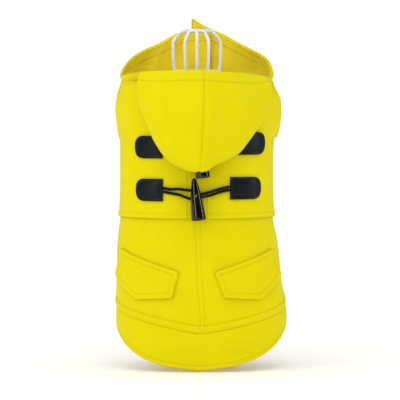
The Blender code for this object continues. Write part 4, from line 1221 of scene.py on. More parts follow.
def make_belly_panel(side):
    """From the side seam and the armhole to the chest, with a topstitched hem and front edge."""
    seam = float(girth_of(GAP / 2, 250.0))
    start, end = SIDE_SEAM + seam, chest_end(side)
    across = graded(BELLY_WIDTH, (0.0, BELLY_WIDTH - SEAM_STITCH, BELLY_WIDTH))[None, :]
    arm_rows = [h - BELLY_FOOT for h in ARM_FEATURES]
    up = graded(BELLY_LENGTH, (0.0, HEM_STITCH, *arm_rows, BELLY_LENGTH))[:, None]
    plain = start + (end - start) * across
    low, high = tail_hem(plain), neckline(plain)
    height = low + (high - low) * up
    girth = plain + arm_bite(height) * (1 - across) ** 3
    points = on_body(side * girth, height, CLOTH / 2 + lap_lift(girth, side))
    far = edge_distances(points)
    relief = topstitched(far["bottom"], HEM_STITCH, puff=0.55, groove=0.5)
    relief = relief + topstitched(far["end"], SEAM_STITCH, puff=0.45, groove=0.4) + seamed(far["start"])
    points = sewn(points, side, relief)
    piece = panel(f"belly_panel_{word(side)}", points, side, CLOTH, ("start", "top"))
    keep(piece, f"belly_{word(side)}")
    hem = beside_edge(points, side, "bottom", HEM_STITCH, (1, 3))
    runs = [hem, beside_edge(points, side, "end", SEAM_STITCH, (6, 4))]
    thread = add_on(stitches(f"belly_stitches_{word(side)}", runs, YELLOW_THREAD))


def make_placket():
    """The strip down the middle of the yoke, topstitched along both long edges."""
    up = graded(PLACKET_LENGTH, (0.0, PLACKET_LENGTH), coarse=2.0)[:, None]
    edges = (0.0, PLACKET_STITCH, PLACKET_WIDTH - PLACKET_STITCH, PLACKET_WIDTH)
    across = graded(PLACKET_WIDTH, edges, fine=0.4, coarse=1.2, spread=1.5)[None, :]
    height = PLACKET_FOOT + (PLACKET_TOP - PLACKET_FOOT) * up + 0.0 * across
    reach = PLACKET_LEFT + PLACKET_WIDTH * across + 0.0 * height
    girth = girth_of(reach + YOKE_SWAY, height)
    points = on_body(girth, height, 0.0 * reach + PLACKET_OUT + PLACKET_CLOTH / 2)
    far = edge_distances(points)
    sides = ("start", "end")
    relief = sum(topstitched(far[edge], PLACKET_STITCH, puff=0.25, groove=0.35) for edge in sides)
    points = sewn(points, 1, relief)
    piece = panel("placket_strip", points, 1, PLACKET_CLOTH)
    keep(piece, "yoke_placket")
    runs = [beside_edge(points, 1, edge, PLACKET_STITCH, (2, 2)) for edge in sides]
    thread = add_on(stitches("placket_stitches", runs, YELLOW_THREAD))


def make_pocket_flap(side):
    """Five-sided flap, topstitched all round, puffed in the middle and lifting off at its lower edge."""
    edges = (0.0, FLAP_STITCH, FLAP_DEPTH - FLAP_STITCH, FLAP_DEPTH)
    up = graded(FLAP_DEPTH, edges, fine=0.4, coarse=1.5, spread=2.0)[:, None]
    inner = np.linspace(0.0, 1.0, 30)
    outer = np.linspace(0.0, 1.0, 24)[1:]
    first = lerp_corner(FLAP_INNER_BOTTOM, FLAP_OUTER_BOTTOM, inner)
    second = lerp_corner(FLAP_OUTER_BOTTOM, FLAP_OUTER_POINT, outer)
    bottom = np.vstack([first, second])
    share = np.concatenate([inner * 5 / 9, 5 / 9 + outer * 4 / 9])
    top = lerp_corner(FLAP_INNER_TOP, FLAP_OUTER_TOP, share)
    places = bottom[None] + (top - bottom)[None] * up[..., None]
    height = places[..., 1]
    girth = side * girth_of(places[..., 0] + side * FLAP_CENTRE_X, height)
    points = on_body(girth, height, 0.0 * girth + FLAP_OUT + FLAP_CLOTH / 2)
    far = edge_distances(points)
    corners = [FLAP_INNER_BOTTOM, FLAP_OUTER_BOTTOM, FLAP_OUTER_POINT, FLAP_OUTER_TOP, FLAP_INNER_TOP]
    outline = np.array(corners)
    inside = polygon_depth(places, outline)
    relief = topstitched(inside, FLAP_STITCH, puff=0.75, groove=0.55)
    relief = relief + 0.5 * ease(inside, FLAP_STITCH, 18.0) + 0.6 * (1 - ease(far["bottom"], 0.0, 12.0))
    points = sewn(points, side, relief)
    piece = panel(f"flap_{word(side)}", points, side, FLAP_CLOTH)
    keep(piece, f"pocket_flap_{word(side)}")
    border = inset_polygon(outline, FLAP_STITCH)
    runs = []
    for a, b in zip(border, np.roll(border, -1, axis=0)):
        line = a + (b - a) * np.linspace(0.0, 1.0, 24)[:, None]
        runs.append(on_grid(points, side, places, line))
    thread = add_on(stitches(f"flap_stitches_{word(side)}", runs, YELLOW_THREAD))


def lerp_corner(start, end, share):
    """Places at these shares of the way from one corner to the next."""
    return np.array(start) + (np.array(end) - np.array(start)) * share[:, None]


def polygon_depth(places, outline):
    """The distance of each place from the nearest side of a convex outline that runs anticlockwise."""
    depth = np.full(places.shape[:-1], 1e9)
    for a, b in zip(outline, np.roll(outline, -1, axis=0)):
        way = (b - a) / np.hypot(*(b - a))
        depth = np.minimum(depth, (places[..., 1] - a[1]) * way[0] - (places[..., 0] - a[0]) * way[1])
    return np.maximum(depth, 0.0)


def inset_polygon(outline, inset):
    """The corners of a convex outline moved in, so that each side lies that far inside the old one."""
    before, after = np.roll(outline, 1, axis=0), np.roll(outline, -1, axis=0)
    into, out = unit(outline - before), unit(after - outline)
    turn = into[:, 0] * out[:, 1] - into[:, 1] * out[:, 0]
    return outline + (out - into) * (inset / turn)[:, None]


def on_grid(points, side, places, line):
    """A line of flat places put on a grid: each goes to the weighted mean of the grid's nearest places."""
    flat, solid = places.reshape(-1, 2), points.reshape(-1, 3)
    normals = grid_normals(points, side).reshape(-1, 3)
    distance = np.linalg.norm(line[:, None] - flat[None], axis=2)
    nearest = np.argsort(distance, axis=1)[:, :4]
    weight = 1.0 / (np.take_along_axis(distance, nearest, axis=1) + 0.05)
    weight = weight / weight.sum(axis=1, keepdims=True)
    place = (solid[nearest] * weight[..., None]).sum(axis=1)
    return smoothed(place), unit(smoothed((normals[nearest] * weight[..., None]).sum(axis=1)))


def smoothed(line):
    """A line with each inner place replaced by the mean of itself and its neighbours."""
    inner = (line[:-2] + line[1:-1] + line[2:]) / 3
    return np.vstack([line[:1], inner, line[-1:]])


# ---------------------------------------------------------------- sleeves


def make_sleeve(side):
    """A short tube. It leaves the armhole square to the body, then bends to its cuff along a cubic."""
    turn = np.linspace(0.0, 2 * math.pi, 72, endpoint=False)
    inset = GAP + SLEEVE_CLOTH / 2
    height = ARM_HEIGHT + (ARM_RISE - inset) * np.cos(turn)
    girth = side * (SIDE_SEAM + girth_of(ARM_REACH - inset, ARM_HEIGHT) * np.sin(turn))
    end = SLEEVE_ENDS[side]
    front = 0.5 + 0.5 * np.sin(turn)
    root = on_body(girth, height, 0.0 * girth - CLOTH / 2, creased=False)
    shoulder = on_body(girth, height, end.collar_out - SLEEVE_FRONT_DROP * front, creased=False)
    normal = body_normal(girth, height)
    tilt = math.radians(end.tilt_deg)
    way = np.array([0.03 * side, math.cos(tilt), -math.sin(tilt)])
    up = np.array([0.0, math.sin(tilt), math.cos(tilt)])
    across = np.array([-side * 1.0, 0.0, 0.0])
    circle = np.cos(turn)[:, None] * up + np.sin(turn)[:, None] * across
    cuff = np.array([end.x, end.y, end.z]) + end.radius * circle
    rings = [root + (shoulder - root) * t for t in (0.0, 0.25, 0.5, 0.75)]
    for t in graded(SLEEVE_LENGTH, (0.0, SLEEVE_LENGTH - CUFF_STITCH, SLEEVE_LENGTH), coarse=1.8):
        rings.append(
            (1 + 2 * t) * (1 - t) ** 2 * shoulder
            + t * (1 - t) ** 2 * end.bulge * (1 - 0.25 * front)[:, None] * normal
            + t**2 * (3 - 2 * t) * cuff
            - t**2 * (1 - t) * SLEEVE_REACH * way
        )
    middle = np.array(rings)
    # Rings run outwards, so the sleeve's outer face is on the other hand from a panel's.
    side_out = -side
    points = middle + grid_normals(middle, side_out, closed=True) * SLEEVE_CLOTH / 2
    far = edge_distances(points)
    angle = (np.degrees(turn) + 180.0) % 360.0 - 180.0
    relief = topstitched(far["top"], CUFF_STITCH, puff=0.45, groove=0.45)
    relief = relief + seamed(far["bottom"] - SLEEVE_COLLAR, dip=0.35, roll=0.3)
    round_it = angle[None, :] * DEGREE_ON_SLEEVE + 0.0 * far["top"]
    relief = relief + crease_relief(round_it, far["bottom"], SLEEVE_CREASES[side], DEGREE_ON_SLEEVE)
    points = sewn(points, side_out, relief, closed=True)
    outer = faced(points, side_out)
    piece = shell(f"leg_sleeve_{word(side)}", outer, SLEEVE_CLOTH, CLOTH_SKINS, closed=True)
    keep(piece, f"sleeve_{word(side)}")
    runs = [beside_edge(points, side_out, "top", CUFF_STITCH, closed=True)]
    thread = add_on(stitches(f"sleeve_stitches_{word(side)}", runs, YELLOW_THREAD))


# ---------------------------------------------------------------- hood


def over_body(azimuth, height, out):
    """The place over the body at this azimuth from the hood's centre, as its reach from there and height.

    The girth is found by correcting a first guess with the slope of azimuth against girth.
    """
    azimuth, height, out = np.broadcast_arrays(azimuth, height, out)
    girth = azimuth / math.pi
    step = 0.002
    for _ in range(12):
        error = wrap_angle(seen_azimuth(girth, height, out) - azimuth)
        change = seen_azimuth(girth + step, height, out) - seen_azimuth(girth - step, height, out)
        slope = wrap_angle(change) / (2 * step)
        girth = girth - np.clip(error / np.maximum(slope, 0.8), -0.08, 0.08)
    place = on_body(girth, height, out, creased=False)
    reach = np.hypot(place[..., 0] - HOOD_CENTRE[0], place[..., 1] - HOOD_CENTRE[1])
    return np.stack([reach, place[..., 2]], axis=-1)


def seen_azimuth(girth, height, out):
    """The azimuth of a place over the body as seen from the hood's centre, 0 at the middle of the back."""
    place = on_body(girth, height, out, creased=False)
    return np.arctan2(place[..., 0] - HOOD_CENTRE[0], -(place[..., 1] - HOOD_CENTRE[1]))


def wrap_angle(angle):
    """The same angle, brought to within half a turn of 0."""
    return (angle + math.pi) % (2 * math.pi) - math.pi


def hood_sections(azimuth_deg, side, lift):
    """The hood's upright sections, one per azimuth: places (reach, height) from neck seam to rim.

    Deep, shallow and standing sections have the same number of places, so one passes into the next.
    """
    azimuth = side * np.radians(azimuth_deg)
    seam = neckline(azimuth_deg / 180)
    fold = column(HOOD, f"fold_{word(side)}", azimuth_deg) + HOOD_CLOTH / 2
    rim_reach = column(HOOD, "rim_reach", azimuth_deg) + lift
    rim = np.stack([rim_reach, column(HOOD, f"rim_{word(side)}", azimuth_deg)], axis=-1)

    def over(height, out):
        return over_body(azimuth, height, out + lift)

    drop = SHOULDER_FOLD - fold
    deepness = ease(drop, 0.0, FOLD_DEEPENS_IN)
    stands = ease(azimuth_deg, COLLAR_STARTS_DEG, COLLAR_STANDS_DEG)
    foot = over(seam + 0.65 + SHALLOW_FOOT_LIFT * (1 - deepness) * (1 - stands), 1.0)
    rise = over(seam + 3.2, 1.2)
    roll = rise + np.array([1.4, 2.0])
    beside = np.abs(over(BUMP_LEVEL, 0.0)[..., 0] * np.sin(azimuth))
    bump = TOGGLE_BUMP * bell(beside, TOGGLE_BUMP_WIDTH)
    radius = SHALLOW_RADIUS + (FOLD_RADIUS - SHALLOW_RADIUS) * deepness
    near_fold = over(fold + radius, HOOD_OVER_TABS + bump)
    sideways = np.stack([radius, 0.0 * radius], axis=-1)
    near_wall = near_fold + 2 * sideways
    swell = np.stack([POUCH_SWELL * deepness, 0.0 * deepness], axis=-1)
    # Over the roll, down beside the yoke, round the fold at the bottom, and up the outer wall to the rim.
    deep = [
        foot,
        rise,
        roll,
        over(289.8, 7.4),
        over(285.5, HOOD_OVER_YOKE + 1.0),
        over(FOLLOWS_YOKE_FROM - 0.30 * drop, HOOD_OVER_TABS + 0.30 * bump),
        over(FOLLOWS_YOKE_FROM - 0.62 * drop, HOOD_OVER_TABS + 0.80 * bump),
        near_fold,
        np.stack([near_fold[..., 0] + radius, fold], axis=-1),
        near_wall,
        near_wall + 0.36 * (rim - near_wall) + 0.8 * swell,
        near_wall + 0.70 * (rim - near_wall) + swell,
        rim,
    ]
    share = np.linspace(0.0, 1.0, len(deep))[:, None, None]
    straight = foot + (rim - foot) * share
    outwards = np.sin(math.pi * share) * np.array([1.0, 0.0])
    shallow = straight + SHALLOW_BULGE * outwards
    standing = straight + STANDING_BULGE * outwards
    deepness, stands = deepness[:, None], stands[:, None]
    lying = (1 - deepness) * shallow + deepness * np.array(deep)
    return (1 - stands) * lying + stands * standing


def make_hood(side):
    """Half of the hood, from its middle seam to the chest, with a stitched casing along its rim."""
    end = 180.0 * chest_end(side)
    azimuths = end * graded(HOOD_LENGTH, (0.0, HOOD_LENGTH), coarse=2.3)
    lift = lap_lift(azimuths / 180, side) * HOOD_LAP_LIFT / LAP_LIFT
    lines = smooth_line(hood_sections(azimuths, side, lift))
    length = lengths_along(lines)
    whole = length[-1]
    near_rim = CASING + 4.0
    low = np.linspace(0.0, 1.0, 84)[:-1, None] * (whole - near_rim)
    fine_rows = graded(near_rim, (near_rim, 4.0, near_rim - 0.5), fine=0.4, coarse=1.4)[:, None]
    at = np.vstack([low, whole - near_rim * (1 - fine_rows)])
    stations = np.linspace(0.0, 1.0, len(length))
    reach, height, station = np.empty_like(at), np.empty_like(at), np.empty_like(at)
    for c in range(len(azimuths)):
        reach[:, c] = np.interp(at[:, c], length[:, c], lines[:, c, 0])
        height[:, c] = np.interp(at[:, c], length[:, c], lines[:, c, 1])
        station[:, c] = np.interp(at[:, c], length[:, c], stations)
    near_seam = np.clip(1 - azimuths / 55, 0.0, None)[None, :] ** 2
    lean = HOOD_SEAM_LEAN_DEG * ease(station, 0.45, 1.0) * near_seam
    seam_gap = side * np.degrees(HOOD_SEAM_GAP / 2 / reach) * near_seam
    turn = np.radians(side * azimuths[None, :] + lean + seam_gap)
    x = HOOD_CENTRE[0] + reach * np.sin(turn)
    y = HOOD_CENTRE[1] - reach * np.cos(turn)
    middle = np.stack([x, y, height], axis=-1)
    points = middle + grid_normals(middle, side) * HOOD_CLOTH / 2
    far = edge_distances(points)
    across = side * azimuths[None, :] * DEGREE_ON_HOOD + 0.0 * at
    relief = crease_relief(across, far["top"], HOOD_CREASES, DEGREE_ON_HOOD) * ease(far["start"], 0.0, 4.0)
    relief = relief + topstitched(far["top"], CASING, puff=0.7, groove=0.6)
    relief = relief + topstitched(far["end"], CHEST_STITCH, puff=0.3, groove=0.35)
    relief = relief + seamed(far["start"], dip=0.6, roll=0.55)
    points = sewn(points, side, relief)
    gathered = bell(azimuths[None, :] - GATHERED_AT_DEG, GATHERED_WIDTH_DEG)
    gathers = GATHERS[side] * np.sin(2 * math.pi * far["start"] / GATHER_PITCH) * gathered
    casing = (CASING_SWELL + gathers) * (1 - ease(far["top"], CASING - 1.6, CASING + 0.4))
    casing = casing * ease(far["top"], 0.0, 1.5)
    middle_edge = "start" if side > 0 else "end"
    piece = shell(
        f"hood_half_{word(side)}",
        faced(points, side),
        HOOD_CLOTH,
        CLOTH_SKINS,
        sewn_edges={"bottom": NECK_REACH, middle_edge: SEAM_REACH},
        lining_relief=faced(casing, side),
    )
    keep(piece, f"hood_{word(side)}")
    rim = beside_edge(points, side, "top", CASING, (3, 4))
    runs = [rim, beside_edge(points, side, "end", CHEST_STITCH, (6, 6))]
    thread = add_on(stitches(f"hood_stitches_{word(side)}", runs, YELLOW_THREAD))


# ---------------------------------------------------------------- leather tabs, cords and toggles


def tab_outline(length, inset):
    """The tab's outline this far in from its edge: places (across, up), anticlockwise."""
    rise = -np.cos(np.linspace(0.0, math.pi, 61))
    end, high = TAB_END - inset, TAB_HEIGHT / 2 - inset
    drawn_in = end * (1 - (1 - np.abs(rise) ** TAB_ROUNDNESS) ** (1 / TAB_ROUNDNESS))
    curve = np.stack([length - inset - drawn_in, high * rise], axis=-1)
    return np.vstack([[inset, -high], curve, [inset, high]])


def make_tab(row, inner, length, middle, side):
    """D-shaped leather tab, straight on its inner side, its border pressed and stitched."""
    name = f"{row}_{word(side)}"
    edges = (0.0, TAB_STITCH, TAB_HEIGHT - TAB_STITCH, TAB_HEIGHT)
    up = graded(TAB_HEIGHT, edges, fine=0.3, coarse=0.9, spread=1.6)
    rise = -np.cos(math.pi * up)[:, None]
    ends = (0.0, TAB_STITCH, length - TAB_STITCH, length)
    across = graded(length, ends, fine=0.4, coarse=1.1, spread=1.6)[None, :]
    drawn_in = TAB_END * (1 - (1 - np.abs(rise) ** TAB_ROUNDNESS) ** (1 / TAB_ROUNDNESS))
    flat = (length - drawn_in) * across
    height = TAB_HEIGHT / 2 * rise + 0.0 * flat
    inside = polygon_depth(np.stack([flat, height], axis=-1), tab_outline(length, 0.0))
    moulded = 0.30 * ease(inside, 0.0, 1.0) + 0.35 * ease(inside, 3.0, 8.0)
    relief = moulded - 0.25 * bell(inside - TAB_STITCH, 0.6)
    surface = TAB_OUT + TAB_LEATHER / 2
    girth = girth_of(inner + side * flat + YOKE_SWAY, middle + height)
    points = on_body(girth, middle + height, surface + relief)
    piece = shell(f"leather_tab_{name}", faced(points, side), TAB_LEATHER, [LEATHER, LEATHER])
    keep(piece, f"tab_{name}")
    border = tab_outline(length, TAB_STITCH)
    border = np.vstack([border, border[:1]])
    line_height = middle + border[:, 1]
    line_girth = girth_of(inner + side * border[:, 0] + YOKE_SWAY, line_height)
    line = on_body(line_girth, line_height, surface + 0.05 + 0.0 * line_height)
    runs = [(line, body_normal(line_girth, line_height))]
    thread = stitches(f"tab_stitches_{name}", runs, BLACK_THREAD, pitch=2.4, length=1.8, thick=0.5)
    add_on(thread)


def cord_line(places, count):
    """A smooth line through (reach, height, out) places over the yoke."""
    line = spline_through(places, count)
    return on_body(girth_of(line[:, 0] + YOKE_SWAY, line[:, 1]), line[:, 1], line[:, 2])


def make_loop(row, spec):
    """The cord loop: from the left tab, round behind the toggle, and back to the tab."""
    eye = spec.toggle_z + LOOP_RISE
    start = spec.left_reach + GAP
    places = [
        (start, spec.left_height + 1.9, CORD_REST_OUT),
        (start + 7.0, spec.left_height + 1.0, CORD_REST_OUT + 0.4),
        (start + 15.0, 0.5 * (spec.left_height + eye) + 3.6, CORD_OVER_PLACKET_OUT),
        (spec.toggle_x - 8.0, eye + 4.8, CORD_OVER_PLACKET_OUT),
        (spec.toggle_x - 1.5, eye + 4.4, CORD_OVER_PLACKET_OUT),
        (spec.toggle_x + 2.4, eye, CORD_OVER_PLACKET_OUT),
        (spec.toggle_x - 1.5, eye - 4.4, CORD_OVER_PLACKET_OUT),
        (spec.toggle_x - 8.0, eye - 3.2, CORD_OVER_PLACKET_OUT),
        (start + 15.0, 0.5 * (spec.left_height + eye) - 2.0, CORD_OVER_PLACKET_OUT),
        (start + 7.0, spec.left_height - 3.0, CORD_REST_OUT + 0.4),
        (start, spec.left_height - 1.6, CORD_REST_OUT),
    ]
    piece = tube(f"cord_loop_{row}", cord_line(places, 150), CORD / 2, [BRAID], around=20)
    keep(piece, f"loop_{row}")


def make_tethers(row, spec):
    """Two strands side by side, from the right tab to the toggle's eye."""
    eye = spec.toggle_z + TOGGLE_EYE_RISE
    start = spec.right_reach - GAP
    rise = spec.right_height - eye
    slope = math.atan2(rise, start - spec.toggle_x - 8.0)
    for number, shift in enumerate(STRAND_SHIFTS):
        over, up = -shift * math.sin(slope), shift * math.cos(slope)
        places = [
            (start, spec.right_height + shift, CORD_REST_OUT),
            (start - 5.0 + over, spec.right_height - 0.9 + up, CORD_REST_OUT + 0.4),
            (spec.toggle_x + 14.0 + over, eye + 0.30 * rise + up, CORD_OVER_PLACKET_OUT + 0.8),
            (spec.toggle_x + 9.4 + over, eye + 0.9 + up, CORD_OVER_PLACKET_OUT + 2.6),
            (spec.toggle_x + 4.8, eye + shift, CORD_OVER_PLACKET_OUT + 4.5),
            (spec.toggle_x + 2.8, eye + 0.9 * shift, CORD_OVER_PLACKET_OUT + 5.0),
        ]
        name = f"tether_{row}_{number + 1}"
        piece = tube(f"cord_{name}", cord_line(places, 70), CORD / 2, [BRAID], around=20)
        keep(piece, name)


def make_toggle(row, spec):
    """Horn toggle: its profile turned round, swelling smoothly from the tip, and bored with an eye."""
    profile = smooth_line([(r.radius, r.height) for r in TOGGLE], steps=6)
    turn = np.linspace(0.0, 2 * math.pi, 48, endpoint=False)
    radius, height = np.maximum(profile[:, 0], 0.02)[:, None], profile[:, 1][:, None]
    local = np.stack([radius * np.cos(turn), radius * np.sin(turn), height + 0.0 * turn], axis=-1)
    lean = math.radians(-TOGGLE_LEAN_DEG)
    cos, sin = math.cos(lean), math.sin(lean)
    turned = np.array([[cos, 0.0, sin], [0.0, 1.0, 0.0], [-sin, 0.0, cos]])
    level = np.array([spec.toggle_z])
    girth = girth_of(np.array([spec.toggle_x + YOKE_SWAY]), level)
    centre = on_body(girth, level, np.array([TOGGLE_OUT]), creased=False)[0]
    vertices, faces, _, _ = capped_rings(centre + local @ turned.T)
    # The profile runs downwards, so each face is turned over to face outwards.
    piece = mesh_object(f"horn_toggle_{row}", vertices, faces[:, ::-1], [HORN])
    bore_eye(piece, centre + np.array([0.0, 0.0, TOGGLE_EYE_RISE]))
    keep(piece, f"toggle_{row}")


def bore_eye(piece, place):
    """Cuts the eye front to back with a cylinder, which is then removed."""
    bpy.ops.mesh.primitive_cylinder_add(vertices=32, radius=TOGGLE_EYE / 2 * MM, depth=30 * MM)
    cutter = bpy.context.object
    cutter.location = tuple((place + FRAME_SHIFT) * MM)
    cutter.rotation_euler = (math.radians(90.0), 0.0, 0.0)
    bored = piece.modifiers.new("eye", "BOOLEAN")
    bored.operation = "DIFFERENCE"
    bored.object = cutter
    bpy.context.view_layer.update()
    cut = bpy.data.meshes.new_from_object(piece.evaluated_get(bpy.context.evaluated_depsgraph_get()))
    piece.modifiers.clear()
    piece.data = cut
    bpy.data.objects.remove(cutter)
    cut.set_sharp_from_angle(angle=math.radians(40.0))


# ---------------------------------------------------------------- wire dress form


def wire_place(girth, height):
    """One wire's place at a height: inside the cloth on the torso, drawn in to the base below it."""
    draw = SHOULDER_DRAW * float(ease(height, SHOULDER_DRAW_FROM, FORM_SHOULDER))
    torso = on_body(girth, max(height, 0.0), WIRE_OUT - draw, creased=False)
    turn = math.pi * girth
    base_x = BASE_RADIUS * math.sin(turn)
    base_y = BASE_CENTRE_Y - BASE_DEPTH_RADIUS * math.cos(turn)
    base = np.array([base_x, base_y, BASE_THICKNESS + FOOT_GAP])
    foot = float(ease(0.0, TAPER_FOOT, TAPER_TOP))
    kept = (float(ease(height, TAPER_FOOT, TAPER_TOP)) - foot) / (1 - foot)
    place = base + (torso - base) * kept
    place[2] = max(height, BASE_THICKNESS + FOOT_GAP)
    return place


def neck_place(azimuth_deg, radius, height):
    """A place round the neck's own centre."""
    turn = math.radians(azimuth_deg)
    x = NECK_CENTRE[0] + radius * math.sin(turn)
    y = NECK_CENTRE[1] - radius * math.cos(turn)
    return np.array([x, y, height])


def make_wire(index):
    """One upright wire: up the torso, in over the shoulder, up the neck, and in to the crown."""
    girth, azimuth = FORM_GIRTHS[index], NECK_AZIMUTHS_DEG[index]
    torso = [wire_place(girth, height) for height in WIRE_HEIGHTS]
    torso.append(wire_place(girth, FORM_SHOULDER - 4.0))
    shoulder = wire_place(girth, FORM_SHOULDER + 5.0)
    neck = neck_place(azimuth, NECK_RADIUS, NECK_FOOT)
    over = shoulder + 0.8 * (neck - shoulder)
    over[2] = FORM_SHOULDER + 6.0
    places = [
        *torso,
        shoulder,
        over,
        neck,
        neck_place(azimuth, NECK_RADIUS, 0.5 * (NECK_FOOT + NECK_TOP)),
        neck_place(azimuth, NECK_RADIUS, NECK_TOP),
        neck_place(azimuth, NECK_RADIUS - 1.2, NECK_TOP + 2.6),
        neck_place(azimuth, CROWN_RADIUS + 2.4, CROWN_TOP - CROWN_THICKNESS / 2 - 0.8),
        neck_place(azimuth, CROWN_RADIUS + 1.6, CROWN_TOP - CROWN_THICKNESS / 2),
    ]
    piece = tube(f"coated_wire_{index + 1}", spline_through(places, 160), WIRE / 2, [WHITE])
    keep(piece, FORM_WIRES[index])


def make_hoop(name, height):
    """A level hoop inside the upright wires."""
    girth = np.linspace(-1.0, 1.0, 120, endpoint=False)
    line = on_body(girth, np.full_like(girth, height), 0.0 * girth + HOOP_OUT, creased=False)
    piece = tube(f"coated_{name}", line, WIRE / 2, [WHITE], cyclic=True)
    keep(piece, f"form_{name}")


def make_neck_hoop():
    """A small hoop inside the neck's wires, at the foot of the neck."""
    line = [neck_place(angle, NECK_HOOP_RADIUS, NECK_HOOP_HEIGHT) for angle in range(0, 360, 5)]
    piece = tube("coated_neck_hoop", line, WIRE / 2, [WHITE], cyclic=True)
    keep(piece, "form_neck_hoop")


def make_crown():
    """The soft-edged round plate that closes the neck. It reaches out to each wire in a small web."""
    turn = np.linspace(0.0, 2 * math.pi, 144, endpoint=False)
    wires = np.radians(np.array(NECK_AZIMUTHS_DEG, float))
    aside = wrap_angle(turn[:, None] - wires[None, :]) * CROWN_RADIUS
    nearness = np.max(bell(aside, WEB_WIDTH), axis=1)
    half = CROWN_THICKNESS / 2
    # Steps of the section, from the middle of the underside out round the edge to the middle of the top.
    steps = [(0.02, -1.0, 0.0), (0.6, -1.0, 0.0), (0.92, -0.95, 0.35), (1.0, -0.6, 0.8), (1.03, 0.0, 1.0)]
    steps += [(1.0, 0.6, 0.8), (0.92, 0.95, 0.35), (0.6, 1.0, 0.0), (0.02, 1.0, 0.0)]
    rings = []
    for share, level, webbed in steps:
        radius = share * CROWN_RADIUS + WEB_REACH * nearness * webbed
        drop = WEB_DROP * nearness * webbed
        x = NECK_CENTRE[0] + radius * np.sin(turn)
        y = NECK_CENTRE[1] - radius * np.cos(turn)
        rings.append(np.stack([x, y, CROWN_TOP - half + half * level - drop], axis=-1))
    vertices, faces, _, _ = capped_rings(np.array(rings))
    piece = mesh_object("coated_crown", vertices, faces, [WHITE])
    keep(piece, "form_crown")


def make_base():
    """The flat oval ring that the form stands on: its section is a rounded bar with a flat underside."""
    half, top, soft = BASE_WIDTH / 2, BASE_THICKNESS, 0.8
    arc = np.radians(np.linspace(0.0, 90.0, 6))
    outer = [(half - soft + soft * math.cos(a), top - soft + soft * math.sin(a)) for a in arc]
    inner = [(-half + soft - soft * math.sin(a), top - soft + soft * math.cos(a)) for a in arc]
    section = np.array([(half - 0.3, 0.0), (half, 0.3), *outer, *inner, (-half, 0.3), (-half + 0.3, 0.0)])
    turn = np.linspace(0.0, 2 * math.pi, 144, endpoint=False)[:, None]
    x = (BASE_RADIUS + section[:, 0]) * np.sin(turn)
    y = BASE_CENTRE_Y - (BASE_DEPTH_RADIUS + section[:, 0]) * np.cos(turn)
    points = np.stack([x, y, section[:, 1] + 0.0 * x], axis=-1)
    count, sides = points.shape[:2]
    faces, _, _ = grid_faces(count + 1, sides, closed=True)
    made = mesh_object("coated_base_ring", points.reshape(-1, 3), faces % (count * sides), [WHITE])
    made.data.set_sharp_from_angle(angle=math.radians(50.0))
    keep(made, "form_base")


# ---------------------------------------------------------------- floor, light and camera

CAMERA_TARGET = (-0.00085, 0.0, 0.17025)
CAMERA_DISTANCE = 2.6
CAMERA_ELEVATION_DEG = 3.0
FRAME_WIDTH = 0.4
PLANE_OF_SCALE = 0.062


def make_floor():
    """A wide pale floor under the base ring."""
    size = 6000.0
    corners = np.array([(-size, -size, 0.0), (size, -size, 0.0), (size, size, 0.0), (-size, size, 0.0)])
    floor = mesh_object("studio_floor", corners - FRAME_SHIFT, [[0, 1, 2, 3]], [pale_floor("pale_floor")])


def make_camera():
    """Level with the jacket's middle, 3 degrees above it, as wide as 400 mm at the plane of its back."""
    data = bpy.data.cameras.new("camera")
    data.sensor_width = 36.0
    data.lens = data.sensor_width * (CAMERA_DISTANCE - PLANE_OF_SCALE) / FRAME_WIDTH
    camera = bpy.data.objects.new("camera", data)
    bpy.context.scene.collection.objects.link(camera)
    tilt = math.radians(CAMERA_ELEVATION_DEG)
    x, y, z = CAMERA_TARGET
    camera.location = (x, y - CAMERA_DISTANCE * math.cos(tilt), z + CAMERA_DISTANCE * math.sin(tilt))
    camera.rotation_euler = (math.radians(90.0) - tilt, 0.0, 0.0)
    bpy.context.scene.camera = camera


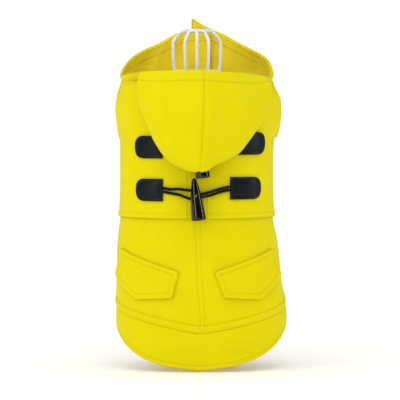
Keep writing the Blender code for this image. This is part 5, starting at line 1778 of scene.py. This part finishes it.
def softbox(name, place, aim, size, power, gloss_only=False):
    """A rectangular studio light turned to its aim. Gloss only: it shows in highlights, lights nothing."""
    data = bpy.data.lights.new(name, "AREA")
    data.shape = "RECTANGLE"
    data.size, data.size_y = size
    data.energy = power
    light = bpy.data.objects.new(name, data)
    bpy.context.scene.collection.objects.link(light)
    light.visible_diffuse = not gloss_only
    light.location = place
    way = np.array(aim) - np.array(place)
    yaw = math.atan2(way[1], way[0]) - math.pi / 2
    pitch = math.atan2(way[2], math.hypot(way[0], way[1]))
    light.rotation_euler = (math.pi / 2 + pitch, 0.0, yaw)


def make_light():
    """A white surround without reflections, a soft key on the left, one above, and two strips for gloss."""
    world = bpy.data.worlds.new("white_surround")
    world.use_nodes = True
    world.node_tree.nodes["Background"].inputs["Color"].default_value = (1.0, 1.0, 1.0, 1.0)
    world.node_tree.nodes["Background"].inputs["Strength"].default_value = 1.06
    world.cycles_visibility.glossy = False
    bpy.context.scene.world = world
    middle = (0.0, 0.0, 0.18)
    softbox("key", (-1.5, -1.0, 1.1), middle, (0.5, 0.5), 4.2)
    softbox("above", (0.1, -1.0, 1.6), (0.0, 0.05, 0.32), (0.8, 0.8), 2.0)
    softbox("strip_left", (-0.92, -1.18, 0.50), middle, (0.16, 0.7), 4.5, gloss_only=True)
    softbox("strip_right", (1.44, -0.41, 0.50), middle, (0.16, 0.7), 4.5, gloss_only=True)


def main():
    """Makes the studio, then the garment side by side, its fastenings and the form."""
    make_camera()
    make_floor()
    make_light()
    for side in (1, -1):
        make_back_panel(side)
        make_belly_panel(side)
        make_yoke(side)
        make_sleeve(side)
        make_hood(side)
        make_pocket_flap(side)
    make_hem_band()
    make_placket()
    for row, spec in FASTENINGS.items():
        make_tab(row, spec.left_reach, spec.left_length, spec.left_height, -1)
        make_tab(row, spec.right_reach, spec.right_length, spec.right_height, 1)
        make_loop(row, spec)
        make_tethers(row, spec)
        make_toggle(row, spec)
    for index in range(len(FORM_GIRTHS)):
        make_wire(index)
    for name, height in HOOP_HEIGHTS.items():
        make_hoop(name, height)
    make_neck_hoop()
    make_crown()
    make_base()
    bpy.context.scene.view_settings.view_transform = "Standard"


main()
